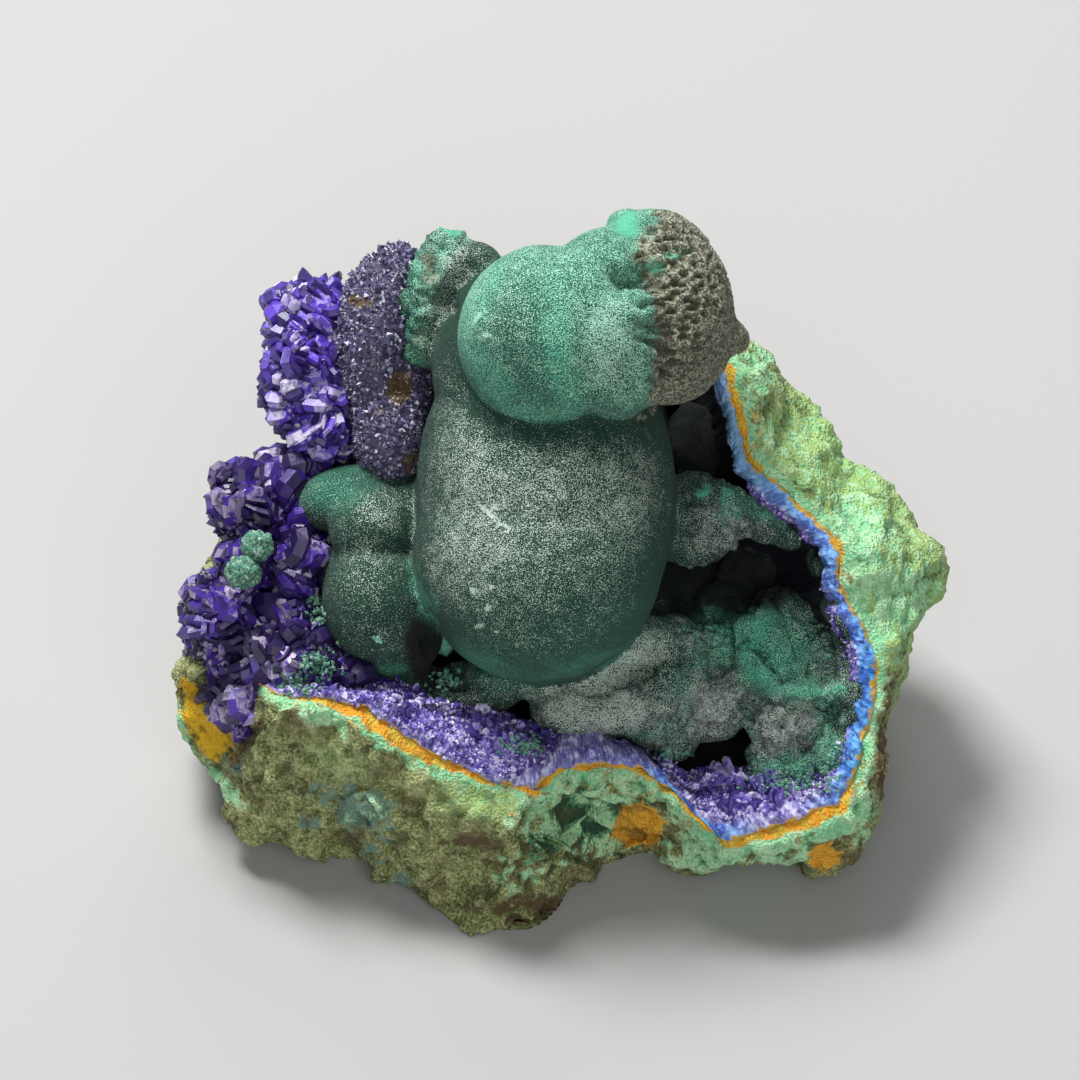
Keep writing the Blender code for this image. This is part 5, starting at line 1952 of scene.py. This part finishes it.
@dataclass
class CrystalBed:
    """A bed of azurite crystals grown out of a lumpy core."""

    name: str
    node: str
    slot: Slot
    finish: AzuriteGlass
    cores: tuple
    seed: int
    coarse: CrystalKind = CrystalKind(Habit.BLADE, 430, (1.3, 3.5), (0.55, 0.95), 0.55, 0.62, (0.05, 0.9), 4)
    fine: CrystalKind = CrystalKind(Habit.WEDGE, 900, (0.5, 1.3), (0.55, 0.95), 0.8, 0.5, (0.0, 0.95))
    shrink: float = 0.2
    above: float = -6.0
    voxel: float = 0.3
    smoothing: int = 2
    features: tuple[FeatureCrystal, ...] = ()

    def build(self) -> bpy.types.Object:
        """Grows the bed.

        Returns:
            The finished piece.
        """
        lobes = []
        for x, y, z, *radii, turn in self.cores:
            lobes.append((x, y, z, *(radius - self.shrink for radius in radii), turn))
        core = melted_lobes(self.name, tuple(lobes), self.voxel, self.smoothing)
        ground = Ground(core.data)
        cloud = CrystalCloud(self.seed)
        open_side = (ground.centres[:, 2] > self.above) & (ground.normals[:, 2] > -0.55)
        ground.keep(open_side)
        cloud.scatter(self.coarse, ground)
        cloud.scatter(self.fine, ground)
        for feature in self.features:
            crystal = feature.rooted(ground)
            if feature.plates < 2:
                cloud.grow(Habit.BLADE, crystal, 0.12)
            else:
                cloud.stack(crystal, feature.plates)
        bed = cloud.piece(self.name + "_crystals")
        join_core(bed, core)
        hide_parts(self.node)
        settle(bed, self.finish.material())
        return bed


@dataclass
class DruseSlab:
    """The dark slab of fine azurite druse behind the column, all small sparkling grains."""

    seed: int = 41
    grains: CrystalKind = CrystalKind(Habit.GRAIN, 15000, (0.14, 0.40), (0.6, 1.1), 0.9, 0.35, (0.0, 1.0))
    wedges: CrystalKind = CrystalKind(Habit.WEDGE, 500, (0.3, 0.6), (0.6, 1.0), 0.9, 0.4, (0.1, 0.8))
    roughness: float = 0.25
    above: float = -9.0
    earth_spots: tuple[Patch, ...] = patches(
        (-10.1, 12.1, 0.9, 1.2, 1.0, -15.0), (-12.6, 17.6, 1.2, 0.7, 0.6),
        (-11.2, 10.6, 1.2, 0.6, 0.4, 30.0), (-9.4, 7.4, 1.0, 1.2, 0.5),
    )

    def build(self) -> bpy.types.Object:
        """Grows the slab's grains.

        Returns:
            The finished piece.
        """
        core = melted_lobes("slab", SLAB_CORES, 0.3, 3)
        points = mesh_points(core.data)
        shift = self.roughness * ripple(points, 1.6, 3) - 0.15
        swell_out(core.data, shift)
        ground = Ground(core.data)
        ground.keep(ground.centres[:, 2] > self.above)
        cloud = CrystalCloud(self.seed)
        cloud.scatter(self.grains, ground)
        cloud.scatter(self.wedges, ground)
        slab = cloud.piece("azurite_druse_slab")
        join_core(slab, core)
        places = Ground(slab.data).centres
        earthy = smooth_step(covered(places, self.earth_spots) + 0.25 * ripple(places, 0.7, 2), 0.35, 0.6)
        set_trait(slab.data, "earth", earthy, "FACE")
        finish = AzuriteGlass(
            "azurite_druse",
            deep=(0.068, 0.060, 0.12),
            vivid=(0.23, 0.20, 0.37),
            lavender=(0.58, 0.56, 0.72),
            frost=(0.80, 0.80, 0.90),
            roughness=0.30,
            frost_from=0.92,
        )
        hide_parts("azurite_druse")
        settle(slab, finish.material())
        return slab


@dataclass
class RimCrystals:
    """Violet crystals on the crust's lower slope, larger in a few spots."""

    seed: int = 57
    small: CrystalKind = CrystalKind(Habit.WEDGE, 9200, (0.16, 0.46), (0.5, 0.9), 0.8, 0.4, (0.3, 1.15))
    large: CrystalKind = CrystalKind(Habit.BLADE, 420, (0.6, 1.6), (0.4, 0.8), 0.8, 0.4, (0.0, 0.95), 3)
    side: CrystalKind = CrystalKind(Habit.WEDGE, 1500, (0.12, 0.36), (0.5, 0.9), 0.8, 0.4, (0.25, 1.0))
    big_spots: tuple[Patch, ...] = patches(
        (-9.4, -7.2, 1.3, 0.9, 1.0), (-4.6, -9.3, 2.0, 0.9, 1.0), (-1.5, -9.4, 1.0, 0.7, 0.8),
        (9.6, -12.4, 3.2, 1.2, 0.9, -20.0), (13.0, -13.4, 2.6, 1.2, 0.7, 15.0),
    )

    def build(self, crust: bpy.types.Mesh) -> bpy.types.Object:
        """Grows the crystals on the crust.

        Args:
            crust: The crust's mesh as it is rendered.

        Returns:
            The finished piece.
        """
        ground = Ground(face_copy(crust))
        place = ground.centres
        inner = RIM.radii(RIM.angles(place)) - RIM.reach(place)
        bottom = smooth_step(-place[:, 1], 5.5, 8.0) * smooth_step(17.5 - place[:, 0], 0.0, 2.0)
        left = smooth_step(-place[:, 0], 1.6, 3.2)
        upright = ground.normals[:, 2] > 0.05
        slope = smooth_step(inner + 1.2 * left, 0.9, 1.9) * upright * (place[:, 2] > -5.0)
        arch = smooth_step(place[:, 0], -1.2, 0.0) * smooth_step(7.2 - place[:, 0], 0.0, 1.2)
        slope = slope * (1 - arch)
        areas = ground.areas
        cloud = CrystalCloud(self.seed)
        ground.areas = areas * bottom * slope
        cloud.scatter(self.small, ground)
        ground.areas = areas * bottom * slope * covered(place, self.big_spots)
        cloud.scatter(self.large, ground)
        sides = smooth_step(inner, 0.9, 1.3) * (place[:, 2] > -1.6) * upright
        ground.areas = areas * sides * (1 - bottom)
        cloud.scatter(self.side, ground)
        crystals = cloud.piece("rim_crystals")
        finish = AzuriteGlass(
            "azurite_rim_crystals",
            deep=(0.055, 0.032, 0.22),
            vivid=(0.23, 0.165, 0.63),
            lavender=(0.48, 0.43, 0.78),
            frost=(0.70, 0.66, 0.88),
            frost_from=0.78,
        )
        settle(crystals, finish.material())
        return crystals


@dataclass(frozen=True)
class CrumbSpot:
    """A spot on the face with small green crumbs."""

    x: float
    y: float
    half_width: float
    half_height: float
    count: int
    radius: float
    mint: float


@dataclass
class MalachiteBits:
    """Small round malachite growths: two knobs on the crystals, and crumbs in the hollow."""

    seed: int = 71
    spots: tuple[CrumbSpot, ...] = (
        CrumbSpot(-7.1, -4.1, 0.30, 0.5, 5, 0.60, 1.0),
        CrumbSpot(-15.3, -5.3, 1.3, 0.9, 110, 0.17, 0.05),
        CrumbSpot(-16.4, -6.5, 1.4, 0.7, 70, 0.17, 0.05),
        CrumbSpot(-15.4, -1.9, 0.6, 1.2, 40, 0.17, 0.05),
        CrumbSpot(-11.4, -3.6, 0.3, 0.3, 5, 0.16, 0.6),
        CrumbSpot(-2.2, -10.4, 1.6, 0.7, 70, 0.15, 0.3),
        CrumbSpot(-7.2, -6.5, 1.1, 0.6, 46, 0.16, 0.15),
        CrumbSpot(7.0, -10.9, 1.2, 0.5, 50, 0.15, 0.2),
        CrumbSpot(14.6, -12.6, 2.4, 0.8, 150, 0.15, 0.15),
        CrumbSpot(16.9, -11.0, 0.6, 2.0, 60, 0.15, 0.2),
        CrumbSpot(17.0, -6.4, 0.4, 2.4, 40, 0.14, 0.2),
    )

    def build_knobs(self) -> bpy.types.Object:
        """Makes the two knobs on the rosettes.

        Returns:
            The finished piece.
        """
        knobs = melted_lobes("knobs", KNOBS, 0.12, 2)
        points = mesh_points(knobs.data)
        shift = 0.30 * (cell_domes(points, 0.55) - 0.4) + 0.06 * ripple(points, 0.3, 2)
        swell_out(knobs.data, shift)
        knobs.name = "malachite_knobs_grown"
        set_trait(knobs.data, "mint", np.zeros(len(points)))
        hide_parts("malachite_knobs")
        settle(knobs, PaleMalachite().material())
        return knobs

    def build_crumbs(self, pieces: tuple[bpy.types.Object, ...]) -> bpy.types.Object:
        """Scatters green crumbs where they lie on the other pieces, with one bright chip.

        Args:
            pieces: The finished pieces that they lie on.

        Returns:
            The finished piece.
        """
        grounds = [Ground(face_copy(piece.data)) for piece in pieces]
        chance = np.random.default_rng(self.seed)
        shape = bmesh.new()
        mints = []
        for spot in self.spots:
            for _ in range(spot.count):
                x, y = chance.normal((spot.x, spot.y), (spot.half_width / 2, spot.half_height / 2))
                hits = [hit for hit in (ground.seen(x, y) for ground in grounds) if hit]
                if not hits:
                    continue
                place = max(hits, key=lambda hit: hit.z)
                radius = spot.radius * chance.uniform(0.5, 1.2)
                stretch = Matrix.Diagonal((*(radius * chance.uniform(0.7, 1.3, 3)), 1.0))
                turn = Matrix.Rotation(chance.uniform(0, math.pi), 4, Vector(chance.normal(size=3)))
                grown = bmesh.ops.create_icosphere(
                    shape, subdivisions=1, radius=1.0, matrix=Matrix.Translation(place) @ turn @ stretch
                )
                for corner in grown["verts"]:
                    corner.co += (corner.co - place) * chance.uniform(-0.35, 0.35)
                mints += [spot.mint] * len(grown["verts"])
        crumbs = shaped("malachite_crumbs", shape)
        set_trait(crumbs.data, "mint", np.array(mints))
        settle(crumbs, PaleMalachite("malachite_crumbs").material())
        return crumbs


@dataclass(frozen=True)
class Studio:
    """A pale floor, soft lights and the camera square to the leaning face."""

    floor_half: float = 0.9
    floor_colour: Colour = (0.42, 0.415, 0.41)
    eye: tuple[float, float, float] = (-1.26, 2.52, 400.0)
    frame_width: float = 68.04
    sensor: float = 36.0
    world_strength: float = 0.15
    key: tuple[float, float, float, float, float] = (-0.12, 0.14, 0.42, 0.16, 2.9)
    fill: tuple[float, float, float, float, float] = (0.06, -0.36, 0.26, 0.34, 0.8)
    back: tuple[float, float, float, float, float] = (0.05, 0.34, 0.34, 0.24, 0.5)

    def build(self) -> None:
        """Sets up the floor, the lights, the world and the camera."""
        self.lay_floor()
        for name in ("key", "fill", "back"):
            self.hang_light(name + "_light", *getattr(self, name))
        world = bpy.data.worlds.new("studio")
        world.use_nodes = True
        sky = world.node_tree.nodes["Background"]
        sky.inputs["Color"].default_value = (0.92, 0.95, 1.0, 1.0)
        sky.inputs["Strength"].default_value = self.world_strength
        bpy.context.scene.world = world
        bpy.context.scene.view_settings.view_transform = "Standard"
        self.set_camera()

    def lay_floor(self) -> None:
        """Lays the plain floor."""
        half = self.floor_half
        corners = [(-half, -half, 0), (half, -half, 0), (half, half, 0), (-half, half, 0)]
        mesh = bpy.data.meshes.new("floor")
        mesh.from_pydata(corners, [], [(0, 1, 2, 3)])
        floor = placed("floor", mesh)
        brush = Brush("floor")
        brush.finish(self.floor_colour, 0.9)
        mesh.materials.append(brush.material)

    def hang_light(self, name: str, x: float, y: float, z: float, size: float, power: float) -> None:
        """Hangs one soft lamp that looks at the specimen.

        Args:
            name: Name of the lamp.
            x: Place to the right, in metres.
            y: Place to the back.
            z: Height.
            size: Width of the lamp.
            power: Its power in watts.
        """
        lamp = bpy.data.lights.new(name, "AREA")
        lamp.size = size
        lamp.energy = power
        obj = placed(name, lamp)
        place = Vector((x, y, z))
        obj.location = place
        obj.rotation_mode = "QUATERNION"
        obj.rotation_quaternion = (place - Vector((0, 0, 0.02))).to_track_quat("Z", "Y")

    def set_camera(self) -> None:
        """Places the camera in front of the leaning face."""
        lens = bpy.data.cameras.new("camera")
        lens.sensor_width = self.sensor
        lens.lens = self.sensor * self.eye[2] / self.frame_width
        camera = placed("camera", lens)
        turn = Matrix.Rotation(math.radians(FACE.lean_deg), 4, "X")
        place = FACE.to_world(np.array([self.eye]))[0]
        camera.matrix_world = Matrix.Translation(place) @ turn
        bpy.context.scene.camera = camera


def main() -> None:
    """Builds every piece in order."""
    logging.basicConfig(level=logging.INFO, format="%(name)s %(message)s")
    Studio().build()
    rock = RockBowl().build()
    crust = AzuriteCrust().build()
    rim = RimCrystals().build(crust.data)
    growth = MalachiteGrowth().build()
    rosettes = CrystalBed(
        "azurite_rosette",
        "azurite_rosettes",
        Slot.BLADES,
        AzuriteGlass("azurite_blades"),
        ROSETTE_CORES,
        seed=11,
        features=ROSETTE_FEATURES,
    )
    rosette_crystals = rosettes.build()
    blades = CrystalBed(
        "azurite_druse_blade",
        "azurite_druse",
        Slot.DRUSE,
        AzuriteGlass(
            "azurite_druse_blades",
            deep=(0.028, 0.012, 0.13),
            vivid=(0.13, 0.06, 0.58),
            lavender=(0.60, 0.52, 0.82),
            frost=(0.82, 0.78, 0.90),
            frost_from=0.84,
        ),
        BLADED_CORES,
        seed=23,
        coarse=CrystalKind(Habit.BLADE, 270, (1.2, 2.9), (0.55, 0.95), 0.55, 0.52, (0.05, 0.9), 4),
        fine=CrystalKind(Habit.WEDGE, 520, (0.5, 1.3), (0.55, 0.95), 0.8, 0.5, (0.0, 0.95)),
        shrink=0.45,
        features=BLADE_FEATURES,
    )
    blades.build()
    DruseSlab().build()
    bits = MalachiteBits()
    bits.build_knobs()
    bits.build_crumbs((rock, crust, rim, growth, rosette_crystals))


if __name__ == "__main__":
    main()
